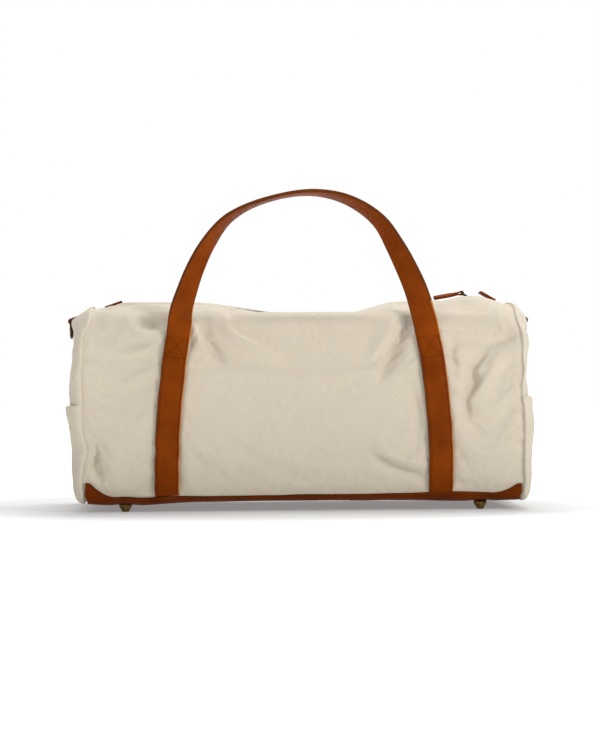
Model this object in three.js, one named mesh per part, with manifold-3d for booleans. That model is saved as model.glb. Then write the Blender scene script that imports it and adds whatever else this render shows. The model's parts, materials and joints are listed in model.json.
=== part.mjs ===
// A soft canvas duffel bag with a leather base, leather straps and brass fittings, in millimetres, +Z up.
// The origin is on the floor, under the middle of the whole outline.
// +X runs along the bag and -Y is its front.
import * as THREE from "three";
import { mergeVertices } from "three/addons/utils/BufferGeometryUtils.js";
import Module from "manifold-3d";

const wasm = await Module();
wasm.setup();

// ---------------------------------------------------------------- driving dimensions
const SEAM_X = 270; // half the length between the two end seams
const END_BULGE = 16; // how far an end panel swells past its seam
const GAP = 0.3; // clearance between touching pieces
const CANVAS = 2.4; // doubled canvas wall
const LEATHER = 3; // base panel and sewn straps
const BASE_Z = 12; // underside of the leather base, which the feet hold up
const BASE_HALF = 90; // half the flat width of the base
const SEAM_Y = 109; // where leather meets canvas, on the front and back
const SEAM_Z = 22;
const SHOULDER = [104, 219]; // where the wall turns over towards the top
const FOLD = [86, 244]; // the line that a lip of the mouth folds about
const TOP_Z = 260; // top of the canvas beside the zip
const LIP_Y = 9; // edge of the canvas beside the zip
const MOUTH_X = 160; // half the length of the mouth's lips
const ZIP_Z = 257.4; // middle of the zip's teeth
const ZIP_END_X = 236; // half the zip's length
const SLIDER_X = 222; // the slider's place when the bag is shut
const STRAP_WIDTH = 30;
const HANDLE_THICK = 3.5;
const HANDLE_HINGE = [110.5, 221]; // the line that a handle bends about
const HANDLE_LEAN = 4; // degrees that the front handle leans in when it stands up
const HANDLE_HANG = 156; // degrees that the back handle hangs out and down from upright
const BOARD = { halfLength: 252, halfWidth: 92, thick: 3 }; // stiffener lying inside on the base
const FOOT = { x: 219, y: 86, topR: 8, lowR: 4.6, shankR: 2, rimHeight: 1.2, edge: 0.6, proud: 1.4 };
const WASHER = { radius: 9, thick: 1.2 };
const POCKET_STAND = 6.5; // how far the pocket's mouth stands off the end panel
const POCKET_WALL = 2.5;
const POCKET_TOP = 131;
const BINDING = { outset: 4.6, inset: 7.2, from: 9, to: 2 }; // depth under the canvas, distance from the seam
const RING = { z: 236, x: 288.5, halfWidth: 12.5, drop: 20, wireR: 1.9, shoulder: 4 };
const RING_TAB = { length: 17, thick: 3, width: 20, clearance: 0.6, lean: 28 };
const PULL = { x: 219.2, z: 263.7, halfWidth: 6, length: 13, rise: 7, wireR: 0.9, corner: 1.5 };
const PULL_TAB = { length: 36, thick: 2.6, width: 9.4, clearance: 0.5, tilt: 10 };
const END_TAB = { length: 22, halfWidth: 12, thick: 2, left: 246.5, right: 252, tilt: 28 }; // at the zip's ends
const FAR = 400; // beyond every part of the bag, for cutting blocks
const ORIGIN_SHIFT_Y = -35.09; // puts the origin under the middle of the outline, back handle included

const X = new THREE.Vector3(1, 0, 0);
const Y = new THREE.Vector3(0, 1, 0);
const Z = new THREE.Vector3(0, 0, 1);
const YZ_ALONG_X = new THREE.Matrix4().makeBasis(Y, Z, X);
const XZ_ALONG_Y = new THREE.Matrix4().makeBasis(X, Z, Y.clone().negate());

// ---------------------------------------------------------------- materials
const material = (color, roughness, metalness = 0) =>
  new THREE.MeshStandardMaterial({ color, roughness, metalness });
const canvas = material(0xd6cab4, 0.9);
const tan = material(0x93450f, 0.5);
const brass = material(0x6b5a2c, 0.4, 0.9);
const board = material(0x6e5f4d, 0.8);
const tape = material(0xb9ad97, 0.8);

// ---------------------------------------------------------------- solids and meshes
function toSolid(geometry) {
  const bare = geometry.index ? geometry.toNonIndexed() : geometry.clone();
  bare.deleteAttribute("normal");
  bare.deleteAttribute("uv");
  const merged = mergeVertices(bare, 1e-3);
  return new wasm.Manifold(
    new wasm.Mesh({
      numProp: 3,
      vertProperties: merged.attributes.position.array,
      triVerts: new Uint32Array(merged.index.array),
    }),
  );
}

function toGeometry(solid) {
  const mesh = solid.getMesh();
  const geometry = new THREE.BufferGeometry();
  geometry.setAttribute("position", new THREE.BufferAttribute(mesh.vertProperties, 3));
  geometry.setIndex(new THREE.BufferAttribute(mesh.triVerts, 1));
  return geometry;
}

function named(name, shape, finish) {
  const geometry = shape.isBufferGeometry ? shape : toGeometry(shape);
  geometry.computeVertexNormals();
  const mesh = new THREE.Mesh(geometry, finish);
  mesh.name = name;
  return mesh;
}

function block(x, y, z) {
  // a box from pairs of limits
  const geometry = new THREE.BoxGeometry(x[1] - x[0], y[1] - y[0], z[1] - z[0]);
  return geometry.translate((x[0] + x[1]) / 2, (y[0] + y[1]) / 2, (z[0] + z[1]) / 2);
}

function extrude(shape, from, to, plane) {
  const depth = to - from;
  const geometry = new THREE.ExtrudeGeometry(shape, { depth, bevelEnabled: false, curveSegments: 10 });
  return geometry.translate(0, 0, from).applyMatrix4(plane);
}

function skin(rings, isLoop = false) {
  // closes a row of equal rings of points into one surface, with flat ends unless the row is a loop
  const count = rings[0].length;
  const points = rings.flat();
  const faces = [];
  const rows = isLoop ? rings.length : rings.length - 1;
  for (let row = 0; row < rows; row++) {
    for (let i = 0; i < count; i++) {
      const next = ((row + 1) % rings.length) * count;
      const [a, b] = [row * count + i, row * count + ((i + 1) % count)];
      const [c, d] = [next + i, next + ((i + 1) % count)];
      faces.push(a, b, d, a, d, c);
    }
  }
  if (!isLoop) {
    const last = (rings.length - 1) * count;
    for (let i = 1; i < count - 1; i++) {
      faces.push(0, i + 1, i, last, last + i, last + i + 1);
    }
  }
  const geometry = new THREE.BufferGeometry().setFromPoints(points).setIndex(faces);
  if (toSolid(geometry).volume() < 0) geometry.setIndex(faces.reverse());
  return geometry;
}

// ---------------------------------------------------------------- the bag's cross-section
// Each stretch is a curve in (y, z) on the back half, going from the base to the zip.
const point = (y, z) => new THREE.Vector2(y, z);
const flatCurve = new THREE.LineCurve(point(0, BASE_Z), point(BASE_HALF, BASE_Z));
const cornerCurve = new THREE.QuadraticBezierCurve(
  point(BASE_HALF, BASE_Z),
  point(106, BASE_Z + 1),
  point(SEAM_Y, SEAM_Z),
);
const wallCurve = new THREE.CubicBezierCurve(
  point(SEAM_Y, SEAM_Z),
  point(126, 70),
  point(124, 165),
  point(...SHOULDER),
);
const shoulderCurve = new THREE.QuadraticBezierCurve(
  point(...SHOULDER),
  point(98.8, 233),
  point(...FOLD),
);
const topCurve = new THREE.QuadraticBezierCurve(point(...FOLD), point(62, TOP_Z), point(LIP_Y, TOP_Z));

function along(curves, steps) {
  // points and outward normals along a chain of curves
  return curves.flatMap((curve, k) =>
    Array.from({ length: steps[k] + 1 }, (_, i) => {
      const at = curve.getPoint(i / steps[k]);
      const way = curve.getTangent(i / steps[k]);
      return { at, normal: new THREE.Vector2(way.y, -way.x) };
    }).slice(k ? 1 : 0),
  );
}

function ribbon(stations, outside, inside) {
  // the outline between two offsets from a row of stations, positive outwards
  const place = (s, offset) => s.at.clone().addScaledVector(s.normal, offset);
  const outer = stations.map((s) => place(s, outside));
  const inner = stations.map((s) => place(s, inside)).reverse();
  return new THREE.Shape([...outer, ...inner]);
}

const mirrored = (geometry) => {
  // the front half's copy of a back half's solid
  const turned = geometry.clone().applyMatrix4(new THREE.Matrix4().makeScale(1, -1, 1));
  return toGeometry(toSolid(flipped(turned)));
};

function flipped(geometry) {
  const bare = geometry.index ? geometry.toNonIndexed() : geometry;
  const p = bare.attributes.position;
  const corner = [0, 1, 2].map(() => new THREE.Vector3());
  for (let i = 0; i < p.count; i += 3) {
    corner.forEach((v, k) => v.fromBufferAttribute(p, i + k));
    p.setXYZ(i + 1, ...corner[2].toArray());
    p.setXYZ(i + 2, ...corner[1].toArray());
  }
  return bare;
}

// ---------------------------------------------------------------- leather base, board and feet
function shankHoles(z) {
  const radius = FOOT.shankR + GAP;
  const holes = [];
  for (const sx of [-1, 1]) {
    for (const sy of [-1, 1]) {
      const hole = new THREE.CylinderGeometry(radius, radius, z[1] - z[0], 16).rotateX(Math.PI / 2);
      holes.push(toSolid(hole.translate(sx * FOOT.x, sy * FOOT.y, (z[0] + z[1]) / 2)));
    }
  }
  return holes;
}

const BOARD_Z = BASE_Z + LEATHER + GAP;
const WASHER_Z = BOARD_Z + BOARD.thick + GAP;
const THROUGH_BASE = [BASE_Z - 7, WASHER_Z + 11.4];

function basePanel() {
  const half = along([flatCurve, cornerCurve], [1, 6]).slice(1);
  const other = half.map((s) => ({
    at: point(-s.at.x, s.at.y),
    normal: point(-s.normal.x, s.normal.y),
  }));
  const profile = ribbon([...other.reverse(), ...half], 0, -LEATHER);
  let solid = toSolid(extrude(profile, -SEAM_X, SEAM_X, YZ_ALONG_X));
  for (const hole of shankHoles(THROUGH_BASE)) solid = solid.subtract(hole);
  return solid;
}

function baseBoard() {
  const { halfLength, halfWidth, thick } = BOARD;
  const slab = block([-halfLength, halfLength], [-halfWidth, halfWidth], [BOARD_Z, BOARD_Z + thick]);
  let solid = toSolid(slab);
  for (const hole of shankHoles(THROUGH_BASE)) solid = solid.subtract(hole);
  return solid;
}

function footGeometry() {
  // a cone standing on a small round sole, with a rim under the leather and a shank through it
  const shankTop = WASHER_Z + WASHER.thick + FOOT.proud;
  const top = BASE_Z - GAP;
  const rim = top - FOOT.rimHeight;
  const profile = [
    [0, 0],
    [FOOT.lowR - FOOT.edge, 0],
    [FOOT.lowR, FOOT.edge],
    [FOOT.topR - 0.4, rim - 1],
    [FOOT.topR, rim],
    [FOOT.topR, top],
    [FOOT.shankR, top],
    [FOOT.shankR, shankTop],
    [0, shankTop],
  ].map(([r, z]) => new THREE.Vector2(r, z));
  return new THREE.LatheGeometry(profile, 20).rotateX(Math.PI / 2);
}

function washerGeometry() {
  const inner = FOOT.shankR + GAP;
  const profile = [
    [inner, 0],
    [WASHER.radius, 0],
    [WASHER.radius, WASHER.thick],
    [inner, WASHER.thick],
    [inner, 0],
  ].map(([r, z]) => new THREE.Vector2(r, z));
  return new THREE.LatheGeometry(profile, 16).rotateX(Math.PI / 2);
}

// ---------------------------------------------------------------- canvas walls and the mouth's lips
const HINGE_CLEAR = 1.4; // gap that lets each lip turn about its fold
const WINDOW_CLEAR = 0.5; // gap at each end of a lip

function sidePanel() {
  // a back wall with the top's two shut ends, and a window between them for the lip
  const stations = along([wallCurve, shoulderCurve, topCurve], [9, 3, 6]);
  const profile = ribbon(stations, 0, -CANVAS);
  const wall = toSolid(extrude(profile, -SEAM_X, SEAM_X, YZ_ALONG_X));
  const raised = wall.subtract(toSolid(block([-FAR, FAR], [0, FAR], [-FAR, SEAM_Z + GAP])));
  const windowX = MOUTH_X + WINDOW_CLEAR;
  const window = block([-windowX, windowX], [0, FOLD[0] + 1], [FOLD[1] - 2 * CANVAS, FAR]);
  return toGeometry(raised.subtract(toSolid(window)));
}

function lip() {
  const stations = along([topCurve], [6]);
  const whole = toSolid(extrude(ribbon(stations, 0, -CANVAS), -MOUTH_X, MOUTH_X, YZ_ALONG_X));
  const fold = block([-FAR, FAR], [FOLD[0] - HINGE_CLEAR, FAR], [0, FAR]);
  return toGeometry(whole.subtract(toSolid(fold)));
}

// ---------------------------------------------------------------- end panels and their pockets
const MIDDLE_Z = (BASE_Z + TOP_Z) / 2;

function sectionRing(x, scale) {
  // the whole cross-section's outline at x, drawn in towards its middle
  const half = along([flatCurve, cornerCurve, wallCurve, shoulderCurve, topCurve], [1, 3, 7, 3, 5]);
  const right = half.map((s) => s.at);
  const left = right.slice(1).map((p) => point(-p.x, p.y)).reverse();
  return [...right, ...left].map(
    (p) => new THREE.Vector3(x, p.x * scale, MIDDLE_Z + (p.y - MIDDLE_Z) * scale),
  );
}

function dome(x, rimScale, height, flat = 0.5) {
  // a pillow standing on the outline at x, round at its rim and flat in its middle
  const rows = 5;
  const rings = Array.from({ length: rows + 1 }, (_, i) => {
    const turn = (i / rows) * (Math.PI / 2);
    const scale = flat + (rimScale - flat) * Math.cos(turn);
    return sectionRing(x + height * Math.sin(turn), scale);
  });
  return toSolid(skin(rings));
}

const END_X = SEAM_X + GAP;
const POCKET_X = END_X + 0.4;
const INWARD = 1; // how far a cutting dome starts inside the seam

function endPanel() {
  const hollow = dome(END_X - INWARD, 0.98, END_BULGE - CANVAS + INWARD);
  return toGeometry(dome(END_X, 1, END_BULGE).subtract(hollow));
}

function endPocket() {
  const height = END_BULGE + POCKET_STAND;
  const panelRoom = dome(END_X + GAP, 1.004, END_BULGE, 0.504);
  const hollow = dome(POCKET_X - INWARD, 0.985, height + INWARD);
  const shell = dome(POCKET_X, 1, height + POCKET_WALL).subtract(hollow).subtract(panelRoom);
  const above = toSolid(block([0, FAR], [-FAR, FAR], [POCKET_TOP, FAR]));
  return toGeometry(shell.subtract(above));
}

function seamBinding() {
  // a bound seam allowance standing inward round an end seam
  const halfWidth = wallCurve.getPoint(0.5).x;
  const tube = (inset, from, to) =>
    toSolid(skin([from, to].map((x) => sectionRing(x, 1 - inset / halfWidth))));
  const outer = tube(BINDING.outset, SEAM_X - BINDING.from, SEAM_X - BINDING.to);
  return outer.subtract(tube(BINDING.inset, SEAM_X - 2 * BINDING.from, SEAM_X + BINDING.to));
}

// ---------------------------------------------------------------- straps and handles
function band(stations, width, thick) {
  // a flat strap through stations of {at, side, face}
  const rings = stations.map(({ at, side, face }) =>
    [
      [-1, -1],
      [1, -1],
      [1, 1],
      [-1, 1],
    ].map(([a, b]) =>
      at
        .clone()
        .addScaledVector(side, (a * width) / 2)
        .addScaledVector(face, (b * thick) / 2),
    ),
  );
  return skin(rings);
}

const STRAP_TOP_Z = HANDLE_HINGE[1] - 4; // the sewn strap stops just short of the handle's fold
const strapLean = new THREE.QuadraticBezierCurve(
  point(167.5, SEAM_Z),
  point(169, 120),
  point(152.5, STRAP_TOP_Z),
);

function sewnStrap() {
  // a strap that follows the wall from the base seam to the fold of the handle
  const offset = GAP + LEATHER / 2;
  const stations = along([wallCurve], [40])
    .filter((s) => s.at.y > SEAM_Z + 1 && s.at.y < STRAP_TOP_Z - GAP)
    .filter((_, i, all) => i % 4 === 0 || i === all.length - 1)
    .map(({ at, normal }) => {
      const t = (at.y - SEAM_Z) / (STRAP_TOP_Z - SEAM_Z);
      const x = strapLean.getPoint(t).x;
      const face = new THREE.Vector3(0, normal.x, normal.y);
      return { at: new THREE.Vector3(x, at.x, at.y).addScaledVector(face, offset), side: X, face };
    });
  return band(stations, STRAP_WIDTH, LEATHER);
}

// Half of a handle's centreline above its hinge, as (x, height), from the root to the crown.
const HANDLE_HALF = [
  [151.6, 0],
  [138.8, 52],
  [114.8, 105],
  [77, 149],
  [39, 165],
  [0, 169.5],
];

function handle() {
  // a strap that faces front at its two roots and turns flat over the hand at its crown
  const half = HANDLE_HALF.map(([x, z]) => new THREE.Vector3(x, 0, z));
  const other = half.slice(0, -1).map((p) => new THREE.Vector3(-p.x, 0, p.z));
  const path = new THREE.CatmullRomCurve3([...half, ...other.reverse()], false, "centripetal");
  const steps = 36;
  const stations = Array.from({ length: steps + 1 }, (_, i) => {
    const u = i / steps;
    const way = i === 0 ? Z : i === steps ? Z.clone().negate() : path.getTangentAt(u);
    const out = new THREE.Vector3().crossVectors(way, Y).normalize();
    const twist = (Math.PI / 2) * Math.pow(1 - Math.abs(2 * u - 1), 0.8);
    const side = out.clone().multiplyScalar(Math.cos(twist)).addScaledVector(Y, Math.sin(twist));
    const face = new THREE.Vector3().crossVectors(way, side).normalize();
    return { at: path.getPointAt(u), side, face };
  });
  return band(stations, STRAP_WIDTH, HANDLE_THICK);
}

function handleGroup(name, side, outward) {
  // side is -1 for the front and 1 for the back; outward is the angle from upright, in degrees
  const group = new THREE.Group();
  group.position.set(0, side * HANDLE_HINGE[0], HANDLE_HINGE[1]);
  group.rotation.x = -side * THREE.MathUtils.degToRad(outward);
  group.add(named(name, handle(), tan));
  return group;
}

// ---------------------------------------------------------------- zip
const TEETH = { from: 0.8, to: 3.4, half: 2 };
const TAPE = { from: 3.6, to: 20, low: ZIP_Z - 1.2, high: ZIP_Z - 0.2 };
const STOP = { length: 5, halfWidth: 3.2, half: 2.3 };
const SLIDER = { halfLength: 7, halfWidth: 6, inner: 2.6, outer: 4.2, postHalf: 0.5, bridgeHalf: 1.6 };

const teethRow = (x) => block(x, [TEETH.from, TEETH.to], [ZIP_Z - TEETH.half, ZIP_Z + TEETH.half]);
const tapeRow = (x) => block(x, [TAPE.from, TAPE.to], [TAPE.low, TAPE.high]);

function zipEnd() {
  // the shut stretch past the mouth: both rows of teeth with their tapes, held together by a stop
  const x = [MOUTH_X + 0.5, ZIP_END_X];
  const row = toSolid(teethRow(x)).add(
    toSolid(block(x, [TEETH.to - 0.2, TAPE.to], [TAPE.low, TAPE.high])),
  );
  const stop = block(
    [ZIP_END_X - STOP.length, ZIP_END_X],
    [-STOP.halfWidth, STOP.halfWidth],
    [ZIP_Z - STOP.half, ZIP_Z + STOP.half],
  );
  return toGeometry(row.add(row.mirror([0, 1, 0])).add(toSolid(stop)));
}

function slider() {
  // two plates joined by a post that runs between the rows, with a bridge on top for the pull
  const { halfLength, halfWidth, inner, outer, postHalf, bridgeHalf } = SLIDER;
  const alongX = [SLIDER_X - halfLength, SLIDER_X + halfLength];
  const plate = (z) => toSolid(block(alongX, [-halfWidth, halfWidth], z));
  const post = block([SLIDER_X + 2, SLIDER_X + 6], [-postHalf, postHalf], [ZIP_Z - outer, ZIP_Z + outer]);
  const onTop = (x, rise) => point(SLIDER_X + x, ZIP_Z + rise);
  const arch = new THREE.Shape([
    onTop(-5.8, 3.6),
    onTop(5.4, 3.6),
    onTop(4.4, 8.1),
    onTop(2.6, 9.3),
    onTop(-3, 9.3),
    onTop(-4.8, 8.1),
  ]);
  arch.holes.push(
    new THREE.Path([onTop(-4, 4.8), onTop(-3.8, 7.8), onTop(2.4, 7.8), onTop(3, 4.8)]),
  );
  const bridge = extrude(arch, -bridgeHalf, bridgeHalf, XZ_ALONG_Y);
  return plate([ZIP_Z + inner, ZIP_Z + outer])
    .add(plate([ZIP_Z - outer, ZIP_Z - inner]))
    .add(toSolid(post))
    .add(toSolid(bridge));
}

function wireLoop(corners, radius, sides = 8) {
  // a closed wire through rounded corners lying in one plane, whose normal is Z
  const path = new THREE.CatmullRomCurve3(corners, true, "catmullrom", 0.25);
  const steps = corners.length * 3;
  const rings = Array.from({ length: steps }, (_, i) => {
    const way = path.getTangent(i / steps);
    const out = new THREE.Vector3().crossVectors(way, Z).normalize();
    return Array.from({ length: sides }, (_, k) => {
      const angle = (k / sides) * 2 * Math.PI;
      return path
        .getPoint(i / steps)
        .addScaledVector(out, radius * Math.cos(angle))
        .addScaledVector(Z, radius * Math.sin(angle));
    });
  });
  return skin(rings, true);
}

function foldedTab(length, thick, boreR, width) {
  // a leather strip folded round a bar on the Y axis at the origin, its two layers running to -X
  const half = thick / 2;
  const outer = boreR + half + 0.4;
  const shape = new THREE.Shape();
  const meet = Math.asin(half / outer);
  shape.moveTo(-length, -half);
  shape.lineTo(-outer * Math.cos(meet), -half);
  shape.absarc(0, 0, outer, Math.PI + meet, Math.PI - meet, false);
  shape.lineTo(-length, half);
  shape.holes.push(new THREE.Path().absarc(0, 0, boreR, 0, 2 * Math.PI, true));
  return extrude(shape, -width / 2, width / 2, XZ_ALONG_Y);
}

function pullLink() {
  // a rectangular wire loop with cut corners, from the slider's bridge to the pull
  const [half, far, cut] = [PULL.halfWidth, -PULL.length, PULL.corner];
  const corners = [
    [0, -half + cut],
    [0, half - cut],
    [-cut, half],
    [far + cut, half],
    [far, half - cut],
    [far, -half + cut],
    [far + cut, -half],
    [-cut, -half],
  ];
  return wireLoop(
    corners.map(([x, y]) => new THREE.Vector3(x, y, 0)),
    PULL.wireR,
  );
}

function pullGroups() {
  const climb = Math.asin(PULL.rise / PULL.length);
  const link = new THREE.Group();
  link.position.set(PULL.x, 0, PULL.z);
  link.rotation.y = climb;
  link.add(named("pull_link", pullLink(), brass));
  const tab = new THREE.Group();
  tab.position.set(PULL.x - PULL.length * Math.cos(climb), 0, PULL.z + PULL.rise);
  tab.rotation.y = THREE.MathUtils.degToRad(-PULL_TAB.tilt);
  const { length, thick, width, clearance } = PULL_TAB;
  tab.add(named("pull_tab", foldedTab(length, thick, PULL.wireR + clearance, width), tan));
  return [link, tab];
}

// ---------------------------------------------------------------- D-rings and their leather tabs
function ringGroup(name, side) {
  // a D of wire hanging by its straight bar, which is the axis it swings about
  const { halfWidth, drop, shoulder } = RING;
  const arc = Array.from({ length: 7 }, (_, i) => {
    const angle = (i / 6) * Math.PI;
    const down = -shoulder - (drop - shoulder) * Math.sin(angle);
    return new THREE.Vector3(down, -halfWidth * Math.cos(angle), 0);
  });
  const bar = [1, -1].map((end) => new THREE.Vector3(0, end * (halfWidth - 1.5), 0));
  const group = new THREE.Group();
  group.position.set(side * RING.x, 0, RING.z);
  group.rotation.y = -Math.PI / 2;
  group.add(named(name, wireLoop([...arc, ...bar], RING.wireR), brass));
  return group;
}

function ringTab(name, side) {
  const group = new THREE.Group();
  group.position.set(side * RING.x, 0, RING.z);
  const { length, thick, width, clearance } = RING_TAB;
  group.rotation.y = Math.PI / 2 - side * THREE.MathUtils.degToRad(RING_TAB.lean);
  group.add(named(name, foldedTab(length, thick, RING.wireR + clearance, width), tan));
  return group;
}

// ---------------------------------------------------------------- the bag
const bag = new THREE.Group();
bag.position.y = ORIGIN_SHIFT_Y;

bag.add(named("base_panel", basePanel(), tan));
bag.add(named("base_board", baseBoard(), board));
for (const [row, sy] of [["front", -1], ["back", 1]]) {
  for (const [end, sx] of [["left", -1], ["right", 1]]) {
    const foot = named(`foot_${row}_${end}`, footGeometry(), brass);
    foot.position.set(sx * FOOT.x, sy * FOOT.y, 0);
    const washer = named(`washer_${row}_${end}`, washerGeometry(), brass);
    washer.position.set(sx * FOOT.x, sy * FOOT.y, WASHER_Z);
    bag.add(foot, washer);
  }
}

for (const [row, sy] of [["front", -1], ["back", 1]]) {
  const turn = (geometry) => (sy < 0 ? mirrored(geometry) : geometry);
  bag.add(named(`${row}_panel`, turn(sidePanel()), canvas));
  bag.add(named(`${row}_lip`, turn(lip()), canvas));
  bag.add(named(`${row}_zip_tape`, turn(tapeRow([-MOUTH_X, MOUTH_X])), tape));
  bag.add(named(`${row}_zip_teeth`, turn(teethRow([-MOUTH_X, MOUTH_X])), brass));
  for (const [end, sx] of [["left", -1], ["right", 1]]) {
    const strap = named(`${row}_${end}_strap`, sewnStrap(), tan);
    strap.scale.set(sx, sy, 1);
    bag.add(strap);
  }
}

for (const [end, sx] of [["left", -1], ["right", 1]]) {
  const facing = (mesh) => {
    mesh.scale.x = sx;
    return mesh;
  };
  bag.add(facing(named(`${end}_end_panel`, endPanel(), canvas)));
  bag.add(facing(named(`${end}_end_pocket`, endPocket(), canvas)));
  bag.add(facing(named(`${end}_seam_binding`, seamBinding(), tape)));
  bag.add(facing(named(`${end}_zip_end`, zipEnd(), tape)));
  bag.add(ringTab(`${end}_ring_tab`, sx));
  bag.add(ringGroup(`${end}_ring`, sx));
}

function endTab(name) {
  const { length, halfWidth, thick } = END_TAB;
  return named(name, block([-length, 0], [-halfWidth, halfWidth], [0, thick]), tan);
}

// The left tab lies flat on the canvas; the right one is lifted at its inner end by the slider.
const leftEndTab = endTab("left_zip_tab");
leftEndTab.position.set(END_TAB.length - END_TAB.left, 0, TOP_Z + GAP);
const rightEndTab = endTab("right_zip_tab");
rightEndTab.position.set(END_TAB.right, 0, TOP_Z + GAP);
rightEndTab.rotation.y = THREE.MathUtils.degToRad(END_TAB.tilt);
bag.add(leftEndTab, rightEndTab);

bag.add(named("zip_slider", slider(), brass));
bag.add(...pullGroups());
bag.add(handleGroup("front_handle", -1, -HANDLE_LEAN));
bag.add(handleGroup("back_handle", 1, HANDLE_HANG));

export default bag;
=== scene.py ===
"""A canvas duffel bag with leather trim and brass fittings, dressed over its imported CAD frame.

Lengths are millimetres in the bag's own space: x along the bag, y from its middle with the front
negative, z up from the floor. mesh_piece() turns them into metres in the frame.
"""
import json
import math

import bmesh
import bpy
import numpy as np
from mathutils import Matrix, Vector


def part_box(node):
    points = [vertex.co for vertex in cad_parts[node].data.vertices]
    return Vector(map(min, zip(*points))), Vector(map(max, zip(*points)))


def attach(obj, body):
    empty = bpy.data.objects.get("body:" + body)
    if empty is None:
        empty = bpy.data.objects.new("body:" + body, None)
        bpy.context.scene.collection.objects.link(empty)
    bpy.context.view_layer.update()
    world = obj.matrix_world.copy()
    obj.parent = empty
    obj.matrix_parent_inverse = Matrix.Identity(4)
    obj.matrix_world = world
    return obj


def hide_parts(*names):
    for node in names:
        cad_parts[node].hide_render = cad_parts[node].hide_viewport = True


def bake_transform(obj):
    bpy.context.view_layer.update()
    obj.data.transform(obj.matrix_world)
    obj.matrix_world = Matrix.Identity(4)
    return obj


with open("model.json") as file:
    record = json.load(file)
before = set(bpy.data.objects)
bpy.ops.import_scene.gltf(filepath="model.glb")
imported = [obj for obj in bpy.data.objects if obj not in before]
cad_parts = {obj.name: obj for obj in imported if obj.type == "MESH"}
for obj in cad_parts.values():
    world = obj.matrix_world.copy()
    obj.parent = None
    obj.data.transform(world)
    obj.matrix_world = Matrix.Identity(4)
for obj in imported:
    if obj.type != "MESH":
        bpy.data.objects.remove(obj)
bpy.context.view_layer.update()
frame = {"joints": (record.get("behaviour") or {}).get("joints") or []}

SCENE = bpy.context.scene
MM = 0.001


# ---------------------------------------------------------------- places and sizes from the frame
MID_Y = (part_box("front_panel")[0].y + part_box("back_panel")[1].y) / 2


def joint_place(name):
    """A joint's point in bag space."""
    x, y, z = next(joint["pos_m"] for joint in frame["joints"] if joint["name"] == name)
    return [x / MM, y / MM - MID_Y / MM, z / MM]


def box_mm(node):
    """A CAD node's lowest and highest corners in bag space."""
    return [np.array([c.x, c.y - MID_Y, c.z]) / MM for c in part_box(node)]


SEAM_X = box_mm("front_panel")[1][0]
BASE_Z = box_mm("base_panel")[0][2]
TOP_Z = box_mm("front_lip")[1][2]
LIP_Y = -box_mm("front_lip")[1][1]
ZIP_Z = sum(corner[2] for corner in box_mm("front_zip_teeth")) / 2
ZIP_END = box_mm("right_zip_end")[1][0]
END_BULGE = box_mm("right_end_panel")[1][0] - SEAM_X
POCKET_TOP = box_mm("right_end_pocket")[1][2]
FOLD = joint_place("back_lip_fold")[1:]
HANDLE_Y, HANDLE_Z = joint_place("back_handle_fold")[1:]
LINK = joint_place("pull_link_swing")
TAB = joint_place("pull_tab_swing")
RING = joint_place("right_ring_swing")

CANVAS_THICK = 1.5
BASE_THICK = 2.0
SHOULDER = (104, 219)
SEAM = (109, 22)  # where the leather base meets the canvas, on the back half
STRAP_WIDTH, STRAP_THICK = 30, 4.2
STITCH_INSET = 3  # from a strap's edge to its stitching
SEWN_LOW, SEWN_TOP = 20.5, 219  # the two ends of a strap sewn to the wall
POCKET_HEM = (11, 2.6)  # width and thickness
POCKET_DROOP = 5.5
TEETH_PITCH, TAPE_WIDTH = 2.6, 15
ZIP_TAB = (24, 2.6)
PULL, PULL_LENGTH = (8.2, 1.9), 36
PULL_DROOP, PULL_ROLL = 10, 20  # degrees
RING_TAB = (20, 1.9)
RING_HALF_WIDTH, RING_DROP, RING_WIRE = 12.5, 20, 1.9
CENTRE_Z = (BASE_Z + TOP_Z) / 2


# ---------------------------------------------------------------- small maths
def smooth(low, high, value):
    """0 below low, 1 above high, and an even curve between."""
    t = np.clip((np.asarray(value, float) - low) / (high - low), 0, 1)
    return t * t * (3 - 2 * t)


def bump(middle, half_width, value):
    """A soft hill of height 1 about a middle value."""
    return np.exp(-(((np.asarray(value, float) - middle) / half_width) ** 2))


def unit(v):
    """Vectors brought to length 1."""
    return v / np.maximum(np.linalg.norm(v, axis=-1, keepdims=True), 1e-9)


def quadratic(a, b, c, steps):
    """Points along a curve from a to c that b pulls to itself."""
    t = np.linspace(0, 1, steps)[:, None]
    return (1 - t) ** 2 * np.array(a) + 2 * t * (1 - t) * np.array(b) + t**2 * np.array(c)


def cubic(a, b, c, d, steps):
    """Points along a curve from a to d that b and c pull to themselves."""
    t = np.linspace(0, 1, steps)[:, None]
    ab = (1 - t) ** 3 * np.array(a) + 3 * t * (1 - t) ** 2 * np.array(b)
    return ab + 3 * t**2 * (1 - t) * np.array(c) + t**3 * np.array(d)


def arc_lengths(points):
    """How far along a path each of its points lies."""
    steps = np.linalg.norm(np.diff(points, axis=0), axis=1)
    return np.concatenate([[0], np.cumsum(steps)])


def between(at, places, table):
    """The rows of a table at other places than those it gives."""
    return np.stack([np.interp(at, places, column) for column in np.asarray(table).T], axis=-1)


def resample(points, count):
    """Evenly spaced points along a polyline."""
    lengths = arc_lengths(points)
    return between(np.linspace(0, lengths[-1], count), lengths, points)


def facing(path, side):
    """The way that a strip along a path faces, from the way that its width lies."""
    return unit(np.cross(unit(np.gradient(path, axis=0)), side))


def even_strip(path, side, count):
    """A strip's path evenly spaced, with its sides made square to it, and its faces."""
    lengths = arc_lengths(path)
    at = np.linspace(0, lengths[-1], count)
    path, side = between(at, lengths, path), unit(between(at, lengths, side))
    way = unit(np.gradient(path, axis=0))
    side = unit(side - way * (side * way).sum(1, keepdims=True))
    return path, side, unit(np.cross(way, side))


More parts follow.
